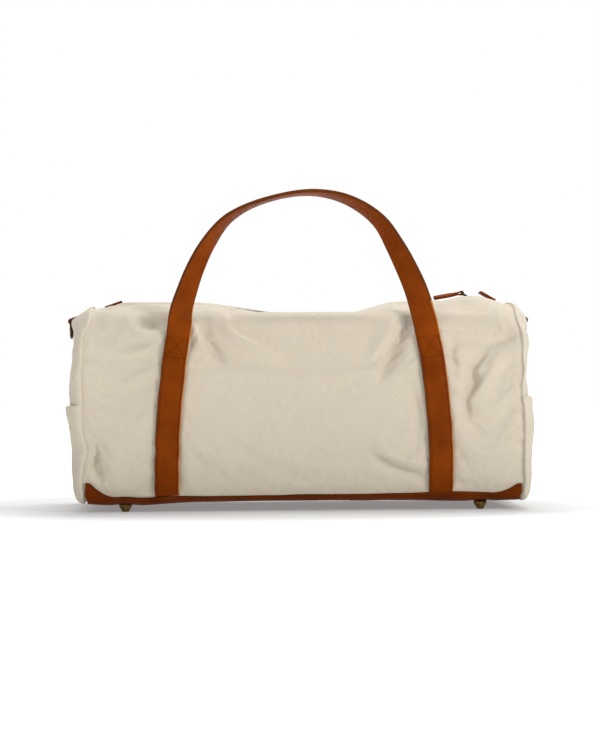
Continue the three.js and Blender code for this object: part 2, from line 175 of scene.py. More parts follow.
def spline(points, count):
    """Evenly spaced points along a smooth curve through a few points."""
    p = np.asarray(points, float)
    p = np.vstack([2 * p[0] - p[1], p, 2 * p[-1] - p[-2]])
    t = np.linspace(0, 1, 24, endpoint=False)[:, None]
    parts = []
    for a, b, c, d in zip(p[:-3], p[1:-2], p[2:-1], p[3:]):
        parts.append(
            0.5 * (2 * b + (c - a) * t + (2 * a - 5 * b + 4 * c - d) * t**2
                   + (3 * b - a - 3 * c + d) * t**3)
        )
    return resample(np.vstack(parts + [p[-2:-1]]), count)


def noise2(u, v, seed):
    """Smooth noise from -1 to 1 over a plane, one feature to each unit."""
    size = 97
    lattice = np.random.RandomState(seed).uniform(-1, 1, (size, size))
    iu, iv = np.floor(u).astype(int), np.floor(v).astype(int)
    fu, fv = u - iu, v - iv
    fu, fv = fu**3 * (fu * (6 * fu - 15) + 10), fv**3 * (fv * (6 * fv - 15) + 10)

    def row(step):
        """The lattice's values between two columns, on one of its rows."""
        here, there = (lattice[(iu + a) % size, (iv + step) % size] for a in (0, 1))
        return here * (1 - fu) + there * fu

    return row(0) * (1 - fv) + row(1) * fv


def crumple(u, v, seed):
    """Sharp-ridged noise like creased cloth, from about -1 to 1."""
    du, dv = noise2(u * 0.8, v * 0.8, seed + 1), noise2(u * 0.8, v * 0.8, seed + 2)
    ridge = 1 - 2.4 * np.abs(noise2(u + 0.9 * du, v + 0.9 * dv, seed))
    fine = 1 - 2.4 * np.abs(noise2(2.3 * u + 0.6 * dv, 2.3 * v - 0.6 * du, seed + 3))
    return 0.7 * ridge + 0.3 * fine


# ---------------------------------------------------------------- the bag's cross-section
CORNER = quadratic((90, BASE_Z), (106, BASE_Z + 1), SEAM, 24)
WALL = cubic(SEAM, (126, 70), (124, 165), SHOULDER, 80)
OVER = quadratic(SHOULDER, (98.8, 233), FOLD, 24)
TOP = quadratic(FOLD, (62, TOP_Z), (LIP_Y, TOP_Z), 40)
CANVAS_LINE = np.vstack([CORNER[10:-1], WALL[:-1], OVER[:-1], TOP])
CANVAS_ALONG = arc_lengths(CANVAS_LINE)
FOLD_AT = CANVAS_ALONG[len(CANVAS_LINE) - len(TOP)]


def line_and_normals(s, along, line):
    """Points at places along a line in (y, z), and its outward normals there."""
    before, here, after = (between(s + step, along, line) for step in (-1, 0, 1))
    way = unit(after - before)
    return here, np.stack([way[..., 1], -way[..., 0]], axis=-1)


def section(s):
    """(y, z) and the outward normal on the back half of the section, s along it from the base."""
    return line_and_normals(np.asarray(s, float), CANVAS_ALONG, CANVAS_LINE)


def along_at_height(z):
    """The place along the section where the wall reaches a height."""
    return np.interp(z, CANVAS_LINE[:, 1], CANVAS_ALONG)


def top_rise(x):
    """How far the top stands off the frame's level: slack over the middle, and down at the ends."""
    sag = -14 * smooth(-135, -10, x) * (1 - smooth(58, 128, x))
    left = -8 * smooth(-226, -268, x)
    right = 1.2 * smooth(140, 200, x) - 5.5 * smooth(250, 270, x)
    return sag + left + right


def lip_rise(x, y):
    """How far the front lip stands over the zip's level, between its hem and its fold."""
    belly = smooth(FOLD[0], 56, y) * smooth(LIP_Y, 30, y)
    return belly * (9.5 * bump(214, 36, x) + 1.5 * bump(-180, 40, x) - 2.6 * bump(-52, 64, x))


def seam_in(x, z):
    """How far an end seam is drawn in towards the middle of the bag."""
    top = np.where(np.asarray(x) < 0, 11, 5) * smooth(204, 250, z)
    pinch = 6 * bump(76, 15, z) * (x < 0) + 3 * bump(150, 22, z) * (x > 0)
    return top + pinch + 1.2 * noise2(z / 17.0, 3.0 + 0 * z, 5)


def skin(x, s, side):
    """The canvas before it creases: points for a side, which is -1 for the front and 1 for the back."""
    x, s = np.broadcast_arrays(np.asarray(x, float), np.asarray(s, float))
    y, z = np.moveaxis(section(s)[0], -1, 0)
    drawn = np.sign(x) * seam_in(x, z) * smooth(120, SEAM_X, np.abs(x))
    shut = smooth(ZIP_END - 4, ZIP_END + 5, np.abs(x))  # beyond the zip, the two sides meet
    y = y - (LIP_Y - 0.2) * smooth(40, LIP_Y, y) * shut
    corner_drop = 5 * smooth(SEAM_X - 26, SEAM_X, np.abs(x)) * bump(FOLD_AT - 8, 26, s)
    if side < 0:
        z = z + lip_rise(x, y) - bump(-52, 64, x) * smooth(34, LIP_Y, y)
    z = z + top_rise(x) * smooth(FOLD_AT - 8, FOLD_AT + 55, s) - corner_drop
    return np.stack([x - drawn, side * (y - 0.4 * corner_drop), z], axis=-1)


def strap_x(z):
    """Distance of a sewn strap's middle from the bag's middle."""
    t = np.clip((np.asarray(z, float) - 22) / 195, 0, 1)
    return (1 - t) ** 2 * 167.5 + 2 * t * (1 - t) * 169 + t**2 * 152.5


# ---------------------------------------------------------------- materials
def colour(code):
    """Linear colour from a hex code."""
    parts = [int(code[i : i + 2], 16) / 255 for i in (0, 2, 4)]
    return [c / 12.92 if c <= 0.04045 else ((c + 0.055) / 1.055) ** 2.4 for c in parts] + [1.0]


class Finish:
    """A material's nodes, with short calls for the ones that the finishes share."""

    def __init__(self, name, **shader):
        self.material = bpy.data.materials.new(name)
        self.material.use_nodes = True
        self.tree = self.material.node_tree
        self.shader = self.tree.nodes["Principled BSDF"]
        for socket, value in shader.items():
            self.shader.inputs[socket.replace("_", " ")].default_value = value
        self.cloth = self.node("ShaderNodeTexCoord").outputs["UV"]

    def node(self, kind, links=None, **settings):
        """A new node; links holds an output or a plain value for each of its inputs."""
        made = self.tree.nodes.new(kind)
        for key, value in settings.items():
            setattr(made, key, value)
        for socket, value in (links or {}).items():
            if isinstance(value, bpy.types.NodeSocket):
                self.tree.links.new(value, made.inputs[socket])
            else:
                made.inputs[socket].default_value = value
        return made

    def paint(self, socket, value):
        """Leads a node's output to the shader."""
        self.tree.links.new(value, self.shader.inputs[socket])

    def stretched(self, x, y):
        """The cloth's own coordinates, scaled: one unit is 100 mm before scaling."""
        return self.node("ShaderNodeMapping", {"Vector": self.cloth, "Scale": (x, y, 1.0)}).outputs[0]

    def noise(self, scale, detail=3.0, vector=None, roughness=0.55):
        links = {"Vector": vector or self.cloth, "Scale": scale, "Detail": detail, "Roughness": roughness}
        return self.node("ShaderNodeTexNoise", links).outputs["Fac"]

    def cells(self, scale):
        """The distance to the nearest of many scattered points."""
        return self.node("ShaderNodeTexVoronoi", {"Vector": self.cloth, "Scale": scale}).outputs["Distance"]

    def sum(self, a, b, operation="ADD"):
        """Two values added, or joined by another operation."""
        return self.node("ShaderNodeMath", {0: a, 1: b}, operation=operation).outputs[0]

    def spread(self, value, low, high, to_low=0.0, to_high=1.0):
        """A value whose range from low to high is stretched to another."""
        links = {"Value": value, "From Min": low, "From Max": high, "To Min": to_low, "To Max": to_high}
        return self.node("ShaderNodeMapRange", links).outputs[0]

    def mix(self, factor, a, b):
        """One colour or another, by a factor."""
        return self.node("ShaderNodeMix", {0: factor, 6: a, 7: b}, data_type="RGBA").outputs[2]

    def relief(self, *layers):
        """Bumps from pairs of height and depth in millimetres, the coarsest first."""
        normal = None
        for height, depth in layers:
            links = {"Height": height, "Distance": depth * MM, "Strength": 1.0}
            if normal:
                links["Normal"] = normal
            normal = self.node("ShaderNodeBump", links).outputs[0]
        self.paint("Normal", normal)


def weave(finish, pitch):
    """The height of a plain weave with threads this far apart, in millimetres."""
    scale = 2 * math.pi / 20 / (pitch / 100)
    wobble = {"Distortion": 0.6, "Detail": 1.0, "Detail Scale": 0.6}
    bands = []
    for way in ("X", "Y"):
        wave = finish.node(
            "ShaderNodeTexWave", {"Vector": finish.cloth, "Scale": scale, **wobble}, bands_direction=way
        )
        bands.append(finish.spread(wave.outputs["Fac"], 0, 1, -1, 1))
    return finish.sum(bands[0], bands[1], "MULTIPLY")


def canvas_finish(name, light, dark, seed_flecks=True):
    """Woven cotton: slubs along both threads, faint stains, and flecks of seed husk."""
    f = Finish(name, Roughness=0.92, Sheen_Weight=0.12, Sheen_Roughness=0.5)
    slubs = f.sum(f.noise(1.0, 2, f.stretched(14, 190)), f.noise(1.0, 2, f.stretched(190, 14)))
    stains = f.noise(1.3, 4)
    base = f.mix(f.spread(slubs, 0.5, 1.5), colour(dark), colour(light))
    base = f.mix(f.spread(stains, 0.5, 0.8, 0, 0.35), base, colour(dark))
    if seed_flecks:
        fleck = f.spread(f.cells(7.5), 0.045, 0.03)
        chosen = f.spread(f.noise(23.0, 0), 0.56, 0.6)
        base = f.mix(f.sum(fleck, chosen, "MULTIPLY"), base, colour("8a6a45"))
    f.paint("Base Color", base)
    f.relief((f.noise(9.0, 4), 1.0), (slubs, 0.22), (weave(f, 1.25), 0.09))
    return f.material


def leather_finish(name, light, dark, rough=0.5, grain=0.16):
    """Mottled leather with pores of a depth in millimetres."""
    f = Finish(name, Roughness=rough, Specular_IOR_Level=0.04)
    mottle = f.noise(2.6, 5)
    pores = f.cells(85.0)
    base = f.mix(f.spread(mottle, 0.3, 0.72), colour(dark), colour(light))
    base = f.mix(f.spread(pores, 0.0, 0.2, 0.25, 0), base, colour(dark))
    f.paint("Base Color", base)
    f.paint("Roughness", f.spread(f.noise(14.0, 3), 0.3, 0.7, rough - 0.08, rough + 0.12))
    f.relief((f.noise(6.0, 3), 0.4), (pores, grain))
    return f.material


def metal_finish(name, light, dark, rough=0.34):
    """Brushed metal that has tarnished in patches."""
    f = Finish(name, Metallic=1.0)
    tarnish = f.noise(22.0, 4)
    f.paint("Base Color", f.mix(f.spread(tarnish, 0.35, 0.68), colour(dark), colour(light)))
    f.paint("Roughness", f.spread(tarnish, 0.3, 0.7, rough + 0.14, rough))
    f.relief((f.noise(60.0, 2), 0.05))
    return f.material


def thread_finish(name, light, dark):
    """Sewing thread of uneven colour."""
    f = Finish(name, Roughness=0.8, Specular_IOR_Level=0.08)
    f.paint("Base Color", f.mix(f.noise(120.0, 1), colour(dark), colour(light)))
    return f.material


CANVAS = canvas_finish("canvas", "d1c7b6", "beb29e")
TAPE = canvas_finish("zip tape", "b5aa95", "9c907a", seed_flecks=False)
LINING = canvas_finish("board cloth", "85776a", "6c6053", seed_flecks=False)
LEATHER = leather_finish("leather", "813903", "672a01", grain=0.03)
# The strap leather made darker, painted shade: the base sits low, where the top light leaves it darker.
SHADED_BASE_LEATHER = leather_finish("base leather in painted shade", "753203", "582301", grain=0.03)
# A darker copy of the leather edge, painted shade: it stands for strap edges that the light from the right
# leaves in shadow.
SHADED_EDGE = leather_finish("leather edge in painted shade", "683410", "4a2308", grain=0.02)
EDGE = leather_finish("raw leather edge", "c48a58", "9c6232", rough=0.7, grain=0.06)
BRASS = metal_finish("antique brass", "8f7440", "4a3a1c")
DARK_BRASS = metal_finish("dark brass", "63513a", "2e251b", rough=0.3)
TAN_THREAD = thread_finish("brown thread", "5a2408", "3f1704")
CREAM_THREAD = thread_finish("cream thread", "d8cdb6", "b7aa90")


# ---------------------------------------------------------------- meshes
def mesh_piece(name, points, faces, materials, uv=None, normals=None, face_materials=None):
    """A smooth mesh object from points in bag space; uv is a pair in millimetres for each point."""
    points = np.asarray(points, float).reshape(-1, 3) * MM
    points[:, 1] += MID_Y
    mesh = bpy.data.meshes.new(name)
    mesh.from_pydata(points.tolist(), [], [list(map(int, face)) for face in faces])
    for material in materials if isinstance(materials, (list, tuple)) else [materials]:
        mesh.materials.append(material)
    mesh.polygons.foreach_set("use_smooth", [True] * len(mesh.polygons))
    if face_materials is not None:
        mesh.polygons.foreach_set("material_index", list(face_materials))
    if uv is not None:
        layer = mesh.uv_layers.new(name="cloth")
        corners = np.zeros(len(mesh.loops), int)
        mesh.loops.foreach_get("vertex_index", corners)
        layer.data.foreach_set("uv", (np.asarray(uv, float).reshape(-1, 2)[corners] / 100).ravel())
    mesh.update()
    if normals is not None:
        mesh.normals_split_custom_set_from_vertices(np.asarray(normals, float).reshape(-1, 3).tolist())
    piece = bpy.data.objects.new(name, mesh)
    SCENE.collection.objects.link(piece)
    return piece


def settle(piece, body, slot, *nodes):
    """Rides the piece on its body, and stands it for the CAD nodes named."""
    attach(piece, body)
    if nodes:
        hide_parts(*nodes)
    return piece


def grid_faces(rows, cols, offset=0, turned=False, closed=False):
    """Quads over a grid of points whose rows follow one another; closed joins each row's ends."""
    last = cols if closed else cols - 1
    faces = []
    for i in range(rows - 1):
        for j in range(last):
            a, b = offset + i * cols + j, offset + i * cols + (j + 1) % cols
            quad = [a, b, b + cols, a + cols]
            faces.append(quad[::-1] if turned else quad)
    return faces


def grid_normals(grid):
    """Normals of a grid whose columns run one way and rows the other."""
    across = np.gradient(grid, axis=1)
    up = np.gradient(grid, axis=0)
    return unit(np.cross(across, up))


def shell_piece(name, grid, normals, thick, material, uv):
    """A sheet with two faces and closed edges: the grid is its outer face."""
    rows, cols = grid.shape[:2]
    count = rows * cols
    points = np.concatenate([grid.reshape(-1, 3), (grid - normals * thick).reshape(-1, 3)])
    faces = grid_faces(rows, cols) + grid_faces(rows, cols, count, turned=True)
    index = np.arange(count).reshape(rows, cols)
    rim = [*index[0], *index[1:, -1], *index[-1, -2::-1], *index[-2:0:-1, 0]]
    for a, b in zip(rim, rim[1:] + rim[:1]):
        faces.append([b, a, a + count, b + count])
    both = np.concatenate([normals.reshape(-1, 3), -normals.reshape(-1, 3)])
    return mesh_piece(name, points, faces, material, np.concatenate([uv.reshape(-1, 2)] * 2), both)


def rounded(width, thick, radius, steps=3):
    """The outline of a flat strip with rounded corners, as (across, out) pairs."""
    corners = []
    for sx, sy, start in ((1, 1, 0), (-1, 1, 90), (-1, -1, 180), (1, -1, 270)):
        for k in range(steps + 1):
            turn = math.radians(start + 90 * k / steps)
            corners.append(
                (sx * (width / 2 - radius) + radius * math.cos(turn),
                 sy * (thick / 2 - radius) + radius * math.sin(turn))
            )
    return np.array(corners)


def sweep(
    name, centres, sides, faces_out, outline, materials, edge_beyond=None, edges=(1, 1), closed=False
):
    """A solid of one outline along a path; sides and faces_out say how the outline lies at each point.

    What lies farther across than edge_beyond takes another material: edges holds its number on the
    low side and the high side, for the whole path or for each of its points.
    """
    centres = np.asarray(centres, float)
    rings = (
        centres[:, None]
        + outline[None, :, :1] * np.asarray(sides)[:, None]
        + outline[None, :, 1:] * np.asarray(faces_out)[:, None]
    )
    count, size = rings.shape[:2]
    faces = grid_faces(count, size, turned=True, closed=True)
    last = (count - 1) * size
    if closed:
        faces += [[j, (j + 1) % size, last + (j + 1) % size, last + j] for j in range(size)]
    along = arc_lengths(centres)
    round_it = arc_lengths(outline)
    uv = np.stack(np.broadcast_arrays(along[:, None], round_it[None, :]), axis=-1)
    face_materials = None
    if edge_beyond is not None:
        middles = ((outline[:, 0] + np.roll(outline[:, 0], -1)) / 2)[None, :]
        low, high = (np.broadcast_to(kind, count)[:, None] for kind in edges)
        kinds = np.where(middles > edge_beyond, high, np.where(middles < -edge_beyond, low, 0))
        face_materials = kinds.ravel()[: len(faces)].astype(int).tolist()
    if not closed:
        faces += [list(range(size)), list(range(last, last + size))[::-1]]
        if face_materials is not None:
            face_materials += [1, 1]
    return mesh_piece(name, rings, faces, materials, uv, face_materials=face_materials)


def wire(name, path, radius, material, closed=False, sides=10):
    """A round wire along a path of points that lies near one plane."""
    path = np.asarray(path, float)
    if closed:
        way = unit(np.roll(path, -1, axis=0) - np.roll(path, 1, axis=0))
    else:
        way = unit(np.gradient(path, axis=0))
    flat = np.linalg.svd(path - path.mean(0))[2][-1]
    side = unit(np.cross(np.broadcast_to(flat, way.shape), way))
    out = unit(np.cross(way, side))
    turns = np.linspace(0, 2 * math.pi, sides, endpoint=False)
    ring = radius * np.stack([np.cos(turns), np.sin(turns)], axis=1)
    return sweep(name, path, side, out, ring, material, closed=closed)


def stitches(name, runs, material, length=3.2, gap=1.3, radius=0.55, sink=0.12):
    """A row of short raised threads along each run of (points, outward normals)."""
    turns = np.linspace(0, 2 * math.pi, 6, endpoint=False)
    template = [(-0.5, 0.35), (-0.3, 1.0), (0.3, 1.0), (0.5, 0.35)]
    points, faces, uv = [], [], []
    for path, normals in runs:
        lengths = arc_lengths(path)
        count = max(2, int(lengths[-1] / (length + gap)))
        middles = (np.arange(count) + 0.5) * lengths[-1] / count
        for s in middles:
            before, middle, after = (between(s + k * length, lengths, path) for k in (-0.5, 0, 0.5))
            normal = unit(between(s, lengths, normals))
            way = unit(after - before)
            side = unit(np.cross(way, normal))
            first = len(points)
            for place, swell in template:
                dip = -sink - 0.5 * radius * (1 - swell)
                ring_middle = middle + way * place * length + normal * dip
                for turn in turns:
                    spoke = side * math.cos(turn) + normal * math.sin(turn)
                    points.append(ring_middle + radius * swell * spoke)
                    uv.append((s + place * length, turn))
            faces += grid_faces(len(template), len(turns), first, closed=True)
            faces.append(list(range(first, first + len(turns)))[::-1])
            faces.append(list(range(len(points) - len(turns), len(points))))
    return mesh_piece(name, points, faces, material, uv)


def lathe(name, profile, centre, material, steps=28):
    """A solid of revolution about a vertical line, from (radius, height) pairs that start on it."""
    turns = np.linspace(0, 2 * math.pi, steps, endpoint=False)
    profile = np.asarray(profile, float)
    radius, height = profile[:, None, 0], profile[:, None, 1]
    circle = (centre[0] + radius * np.cos(turns), centre[1] + radius * np.sin(turns), height)
    rings = np.stack(np.broadcast_arrays(*circle), axis=-1)
    faces = grid_faces(len(profile), steps, closed=True)
    faces.append(list(range(steps - 1, -1, -1)))
    faces.append([(len(profile) - 1) * steps + k for k in range(steps)])
    uv = np.stack(np.broadcast_arrays(turns[None, :] * 8, arc_lengths(profile)[:, None]), axis=-1)
    return mesh_piece(name, rings, faces, material, uv)


# ---------------------------------------------------------------- canvas: folds and cloth simulation
# Each fold is a route over the wall in (x, z), its half-width, its height, and how much softer
# one flank is than the other, from -1 to 1.
FRONT_FOLDS = [
    ([(-134, 229), (-130, 214), (-119, 192)], 5.5, 3.6, 0.5),
    ([(-141, 196), (-137, 206), (-133, 216)], 4.5, -3.2, -0.4),
    ([(-119, 232), (-118, 219), (-108, 200), (-99, 186)], 6.5, -4.4, 0.3),
    ([(-98, 243), (-92, 230), (-85, 219), (-60, 205), (-30, 192)], 7.0, 4.0, 0.55),
    ([(-132, 205), (-112, 190), (-96, 182)], 6.0, 1.4, -0.5),
    ([(132, 238), (121, 220), (109, 199), (93, 168)], 6.0, -6.4, -0.62),
    ([(116, 243), (104, 220), (94, 204), (84, 190)], 8.0, 3.2, 0.3),
    ([(224, 194), (210, 174), (213, 157), (201, 136), (202, 118)], 6.5, -5.4, 0.6),
    ([(240, 190), (228, 168), (214, 138)], 9.0, 3.0, -0.4),
    ([(186, 208), (183, 192), (188, 172)], 6.0, -2.8, 0.4),
    ([(262, 216), (247, 212), (230, 204)], 7.5, -3.2, 0.3),
    ([(196, 104), (206, 106), (216, 98)], 5.0, -2.0, 0.3),
    ([(-256, 236), (-228, 235), (-208, 223), (-184, 212)], 8.0, 3.0, -0.4),
    ([(-214, 241), (-200, 234), (-180, 227)], 7.5, -2.2, 0.2),
    ([(-258, 246), (-238, 252), (-214, 255)], 5.0, 1.8, 0.3),
    ([(258, 247), (236, 253), (212, 251)], 5.0, 2.4, 0.4),
    ([(236, 246), (214, 249), (190, 254)], 6.0, -1.8, 0.2),
    ([(-262, 84), (-257, 66), (-248, 44)], 7.0, -5.6, 0.55),
    ([(-244, 92), (-238, 68), (-234, 46)], 9.0, 2.6, 0.0),
    ([(134, 150), (142, 116), (139, 86)], 5.5, -2.6, 0.5),
    ([(92, 86), (112, 66), (150, 62)], 6.0, 2.6, 0.55),
    ([(81, 70), (110, 54), (152, 41)], 6.0, -2.4, 0.5),
    ([(-20, 66), (16, 54), (62, 56)], 10.0, 1.6, 0.4),
    ([(-142, 84), (-118, 70), (-96, 66)], 8.0, 1.4, 0.4),
    ([(185, 86), (214, 74), (240, 78)], 9.0, 1.6, 0.4),
]
BACK_FOLDS = [
    ([(-132, 236), (-114, 210), (-86, 190), (-60, 184)], 6.5, 3.8, 0.5),
    ([(130, 236), (112, 212), (92, 184)], 6.0, -5.6, -0.6),
    ([(112, 240), (92, 216), (70, 200)], 8.0, 3.0, 0.2),
    ([(-262, 232), (-236, 230), (-210, 218)], 6.0, -3.8, 0.5),
    ([(262, 230), (232, 222), (206, 212)], 6.0, -3.6, 0.5),
    ([(-20, 92), (20, 76), (70, 72)], 8.0, 2.4, 0.4),
    ([(210, 170), (200, 140), (204, 112)], 7.0, -3.8, 0.5),
    ([(-216, 160), (-206, 130), (-212, 100)], 7.0, 3.0, 0.5),
    ([(-140, 70), (-112, 62), (-88, 66)], 7.0, 1.8, 0.4),
    ([(60, 150), (20, 128), (-40, 120)], 9.0, 1.8, 0.5),
]


def fold_relief(x, z, folds):
    """The height of the listed folds at points of the wall."""
    steps = 40
    total = np.zeros_like(x)
    for route, half_width, height, lean in folds:
        path = spline(route, steps)
        way = unit(np.gradient(path, axis=0))
        near = np.full(x.shape, 1e9)
        across = np.zeros_like(x)
        place = np.zeros_like(x)
        for k, (px, pz) in enumerate(path):
            distance = np.hypot(x - px, z - pz)
            closer = distance < near
            near = np.where(closer, distance, near)
            across = np.where(closer, (x - px) * way[k, 1] - (z - pz) * way[k, 0], across)
            place = np.where(closer, k / (steps - 1), place)
        fade = np.sin(np.pi * np.clip(0.08 + 0.84 * place, 0, 1)) ** 0.7
        width = half_width * (1 + lean * np.tanh(across / 2))
        total += height * fade * np.exp(-((near / width) ** 2))
    return total


def drape(grid, hold, slack, frames=22):
    """The grid after a short cloth simulation: hold is 1 where it is sewn down, slack its spare size."""
    rows, cols = grid.shape[:2]
    mesh = bpy.data.meshes.new("draped")
    mesh.from_pydata((grid.reshape(-1, 3) * MM).tolist(), [], grid_faces(rows, cols))
    cloth_object = bpy.data.objects.new("draped", mesh)
    SCENE.collection.objects.link(cloth_object)
    group = cloth_object.vertex_groups.new(name="hold")
    for index, weight in enumerate(hold.ravel()):
        if weight > 0:
            group.add([index], float(weight), "REPLACE")
    cloth = cloth_object.modifiers.new("cloth", "CLOTH")
    settings = cloth.settings
    settings.quality = 6
    settings.mass = 0.3
    settings.tension_stiffness = settings.compression_stiffness = 18
    settings.shear_stiffness = 8
    settings.bending_stiffness = 0.8
    settings.air_damping = 3
    settings.vertex_group_mass = "hold"
    settings.shrink_min = -slack
    settings.effector_weights.gravity = 0.25
    cloth.collision_settings.use_collision = False
    cloth.point_cache.frame_start, cloth.point_cache.frame_end = 1, frames
    for step in range(1, frames + 1):
        SCENE.frame_set(step)
    ready = cloth_object.evaluated_get(bpy.context.evaluated_depsgraph_get())
    out = np.zeros(rows * cols * 3)
    ready.data.vertices.foreach_get("co", out)
    SCENE.frame_set(1)
    bpy.data.objects.remove(cloth_object)
    bpy.data.meshes.remove(mesh)
    return out.reshape(rows, cols, 3) / MM


def refine(grid):
    """The grid at twice the density, smooth between its points."""
    for axis in (0, 1):
        g = np.moveaxis(grid, axis, 0)
        padded = np.concatenate([2 * g[:1] - g[1:2], g, 2 * g[-1:] - g[-2:-1]])
        middle = (9 * (padded[1:-2] + padded[2:-1]) - padded[:-3] - padded[3:]) / 16
        out = np.empty((2 * len(g) - 1, *g.shape[1:]))
        out[0::2], out[1::2] = g, middle
        grid = np.moveaxis(out, 0, axis)
    return grid


def off_straps(x, z):
    """0 under the sewn straps and 1 clear of them."""
    clear = smooth(STRAP_WIDTH / 2 - 1, STRAP_WIDTH / 2 + 12, np.abs(np.abs(x) - strap_x(z)))
    return np.where(z < 222, clear, np.maximum(clear, smooth(222, 234, z)))


WALL_ROWS, TOP_ROWS, COLUMNS = 52, 19, 121
MOST_DRAPE = 4.5  # how far the cloth simulation may move the canvas


def round_over(normals, fold, reach=9):
    """The normals with those about the fold's row evened out, so that it shades as a soft bend."""
    rows = np.arange(-reach, reach + 1)
    weights = 1 + np.cos(np.pi * rows / (reach + 1))
    weights /= weights.sum()
    out = normals.copy()
    for k in range(fold - 14, fold + 15):
        near = min(max(k, reach), len(normals) - 1 - reach)
        even = unit((normals[near - reach : near + reach + 1] * weights[:, None, None]).sum(axis=0))
        share = float(smooth(15, 5, abs(k - fold)))
        out[k] = unit(normals[k] * (1 - share) + even * share)
    return out


def draped_side(side, u, v, seed):
    """One side's canvas after its cloth simulation, with how free and how far from an edge it is."""
    plain = skin(side * -u, v, side)
    z = section(v)[0][..., 1]
    edge = smooth(0, 16, SEAM_X - np.abs(u)) * smooth(0, 14, CANVAS_ALONG[-1] - v)
    edge = edge * smooth(0, 16, z - base_top(side * -u) + 1)
    free = edge * off_straps(u, z) * smooth(2, 16, np.abs(v - FOLD_AT))
    start = plain + grid_normals(plain) * (free * 0.9 * crumple(u / 60, v / 52, seed))[..., None]
    away = drape(start, 1 - np.minimum(free * 3, 1), 0.005) - plain
    calm = 0.7 * (side < 0) * smooth(150, 112, np.abs(u)) * smooth(205, 165, z)
    away = away * (1 - calm)[..., None]
    size = np.linalg.norm(away, axis=-1, keepdims=True)
    held = np.minimum(free * 2.5, 1)[..., None]
    return plain + away / np.maximum(1, size / MOST_DRAPE) * held, free, edge


def creases(side, u, v, free, edge, folds, seed):
    """How far the canvas stands off its draped shape: folds, puckers at its seams, and crumpling."""
    z = section(v)[0][..., 1]
    off_fold = np.abs(v - FOLD_AT)
    off_end = SEAM_X - np.abs(u)
    off_strap = np.abs(np.abs(u) - strap_x(z)) - STRAP_WIDTH / 2
    by_strap = np.exp(-np.clip(off_strap, 0, None) / 7) * (off_strap > -3) * (z < 224)
    relief = 1.6 * fold_relief(side * -u, z, folds) * smooth(0, 10, off_fold)
    relief = relief * edge * np.where(z < 226, smooth(0, 5, off_strap + 2), 1)
    relief += free * (0.65 * crumple(u / 34, v / 30, seed + 20) + 0.26 * crumple(u / 13, v / 12, seed + 30))
    relief -= 1.8 * np.exp(-np.clip(off_strap + 3, 0, None) / 4.5) * (z < 222) * edge
    relief += 1.7 * by_strap * smooth(0, 5, off_strap + 3) * noise2(u / 60 + 7, v / 7.5, seed + 40)
    by_end = np.exp(-off_end / 9) * smooth(0, 3, off_end)
    relief += 1.6 * by_end * noise2(u / 80, v / 9, seed + 50) * smooth(0, 8, off_fold)
    relief -= bump(3.0, 2.4, off_end)
    by_base = np.exp(-v / 12) * smooth(0, 4, v)
    return relief + 0.8 * by_base * noise2(u / 11, v / 60, seed + 60) * edge


def canvas_side(side, folds, seed):
    """One side of the bag, as a fine grid of points and normals, and the row of its fold."""
    wall = np.linspace(0, FOLD_AT, WALL_ROWS)
    top = np.linspace(FOLD_AT, CANVAS_ALONG[-1], TOP_ROWS)
    u, v = np.meshgrid(np.linspace(-SEAM_X, SEAM_X, COLUMNS), np.concatenate([wall, top[1:]]))
    draped, free, edge = draped_side(side, u, v, seed)
    grid = refine(draped)
    u, v, free, edge = (refine(layer[..., None])[..., 0] for layer in (u, v, free, edge))
    relief = creases(side, u, v, free, edge, folds, seed)
    grid = grid + grid_normals(grid) * relief[..., None]
    fold = 2 * (WALL_ROWS - 1)
    return grid, round_over(grid_normals(grid), fold), np.stack([u, v], axis=-1), fold


def mouth_blend(piece):
    """Bakes the piece's transform into its mesh."""
    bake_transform(piece)


def halves(columns_x):
    """The columns of a grid that lie left and right of the middle, which both share, by name."""
    middle = int(np.argmin(np.abs(columns_x)))
    first, second = slice(0, middle + 1), slice(middle, None)
    if columns_x[0] > columns_x[-1]:
        first, second = second, first
    return {"left": first, "right": second}


HEM_ROW = 3  # of the grid, counted from the canvas's edge at the zip


def top_pieces(row, grid, normals, uv, fold):
    """The canvas over the mouth's lip, its hem stitching, and the seam allowance under the fold."""
    tuck = 5
    top = grid[fold - tuck:].copy()
    top[:tuck] -= normals[fold - tuck:fold] * (CANVAS_THICK + 0.7)
    for half, columns in halves(grid[-1, :, 0]).items():
        part = shell_piece(
            f"{row}_top_canvas_{half}", top[:, columns], normals[fold - tuck:, columns],
            CANVAS_THICK, CANVAS, uv[fold - tuck:, columns],
        )
        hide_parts(f"{row}_lip")
        mouth_blend(part)
        runs = [(grid[-HEM_ROW, columns], normals[-HEM_ROW, columns])]
        hem = stitches(f"{row}_top_stitching_{half}", runs, CREAM_THREAD, length=2.6, radius=0.3)
        mouth_blend(hem)


def canvas_bag():
    """Both sides of the bag, cut at the fold of each lip."""
    for row, side, folds, seed in (("front", -1, FRONT_FOLDS, 11), ("back", 1, BACK_FOLDS, 47)):
        grid, normals, uv, fold = canvas_side(side, folds, seed)
        rows = slice(0, fold + 1)
        wall = shell_piece(f"{row}_wall_canvas", grid[rows], normals[rows], CANVAS_THICK, CANVAS, uv[rows])
        settle(wall, "bag", "canvas", f"{row}_panel")
        top_pieces(row, grid, normals, uv, fold)


# ---------------------------------------------------------------- ends and their pockets
def end_rim(end):
    """The loop of an end seam, from the middle of the base up the back, over the zip and down the front."""
    s = np.linspace(0, CANVAS_ALONG[-1], 64)
    back, front = (skin(end * SEAM_X, s, side) for side in (1, -1))
    floor = np.vstack([[[0, BASE_Z]], CORNER[:11]])
    base = np.column_stack([np.full(len(floor), back[0, 0]), floor])
    loop = np.vstack([base[1:], back[1:], front[:0:-1], base[:0:-1] * [1, -1, 1]])
    loop = np.vstack([loop, loop[:1]])
    return resample(loop, 221)[:-1]


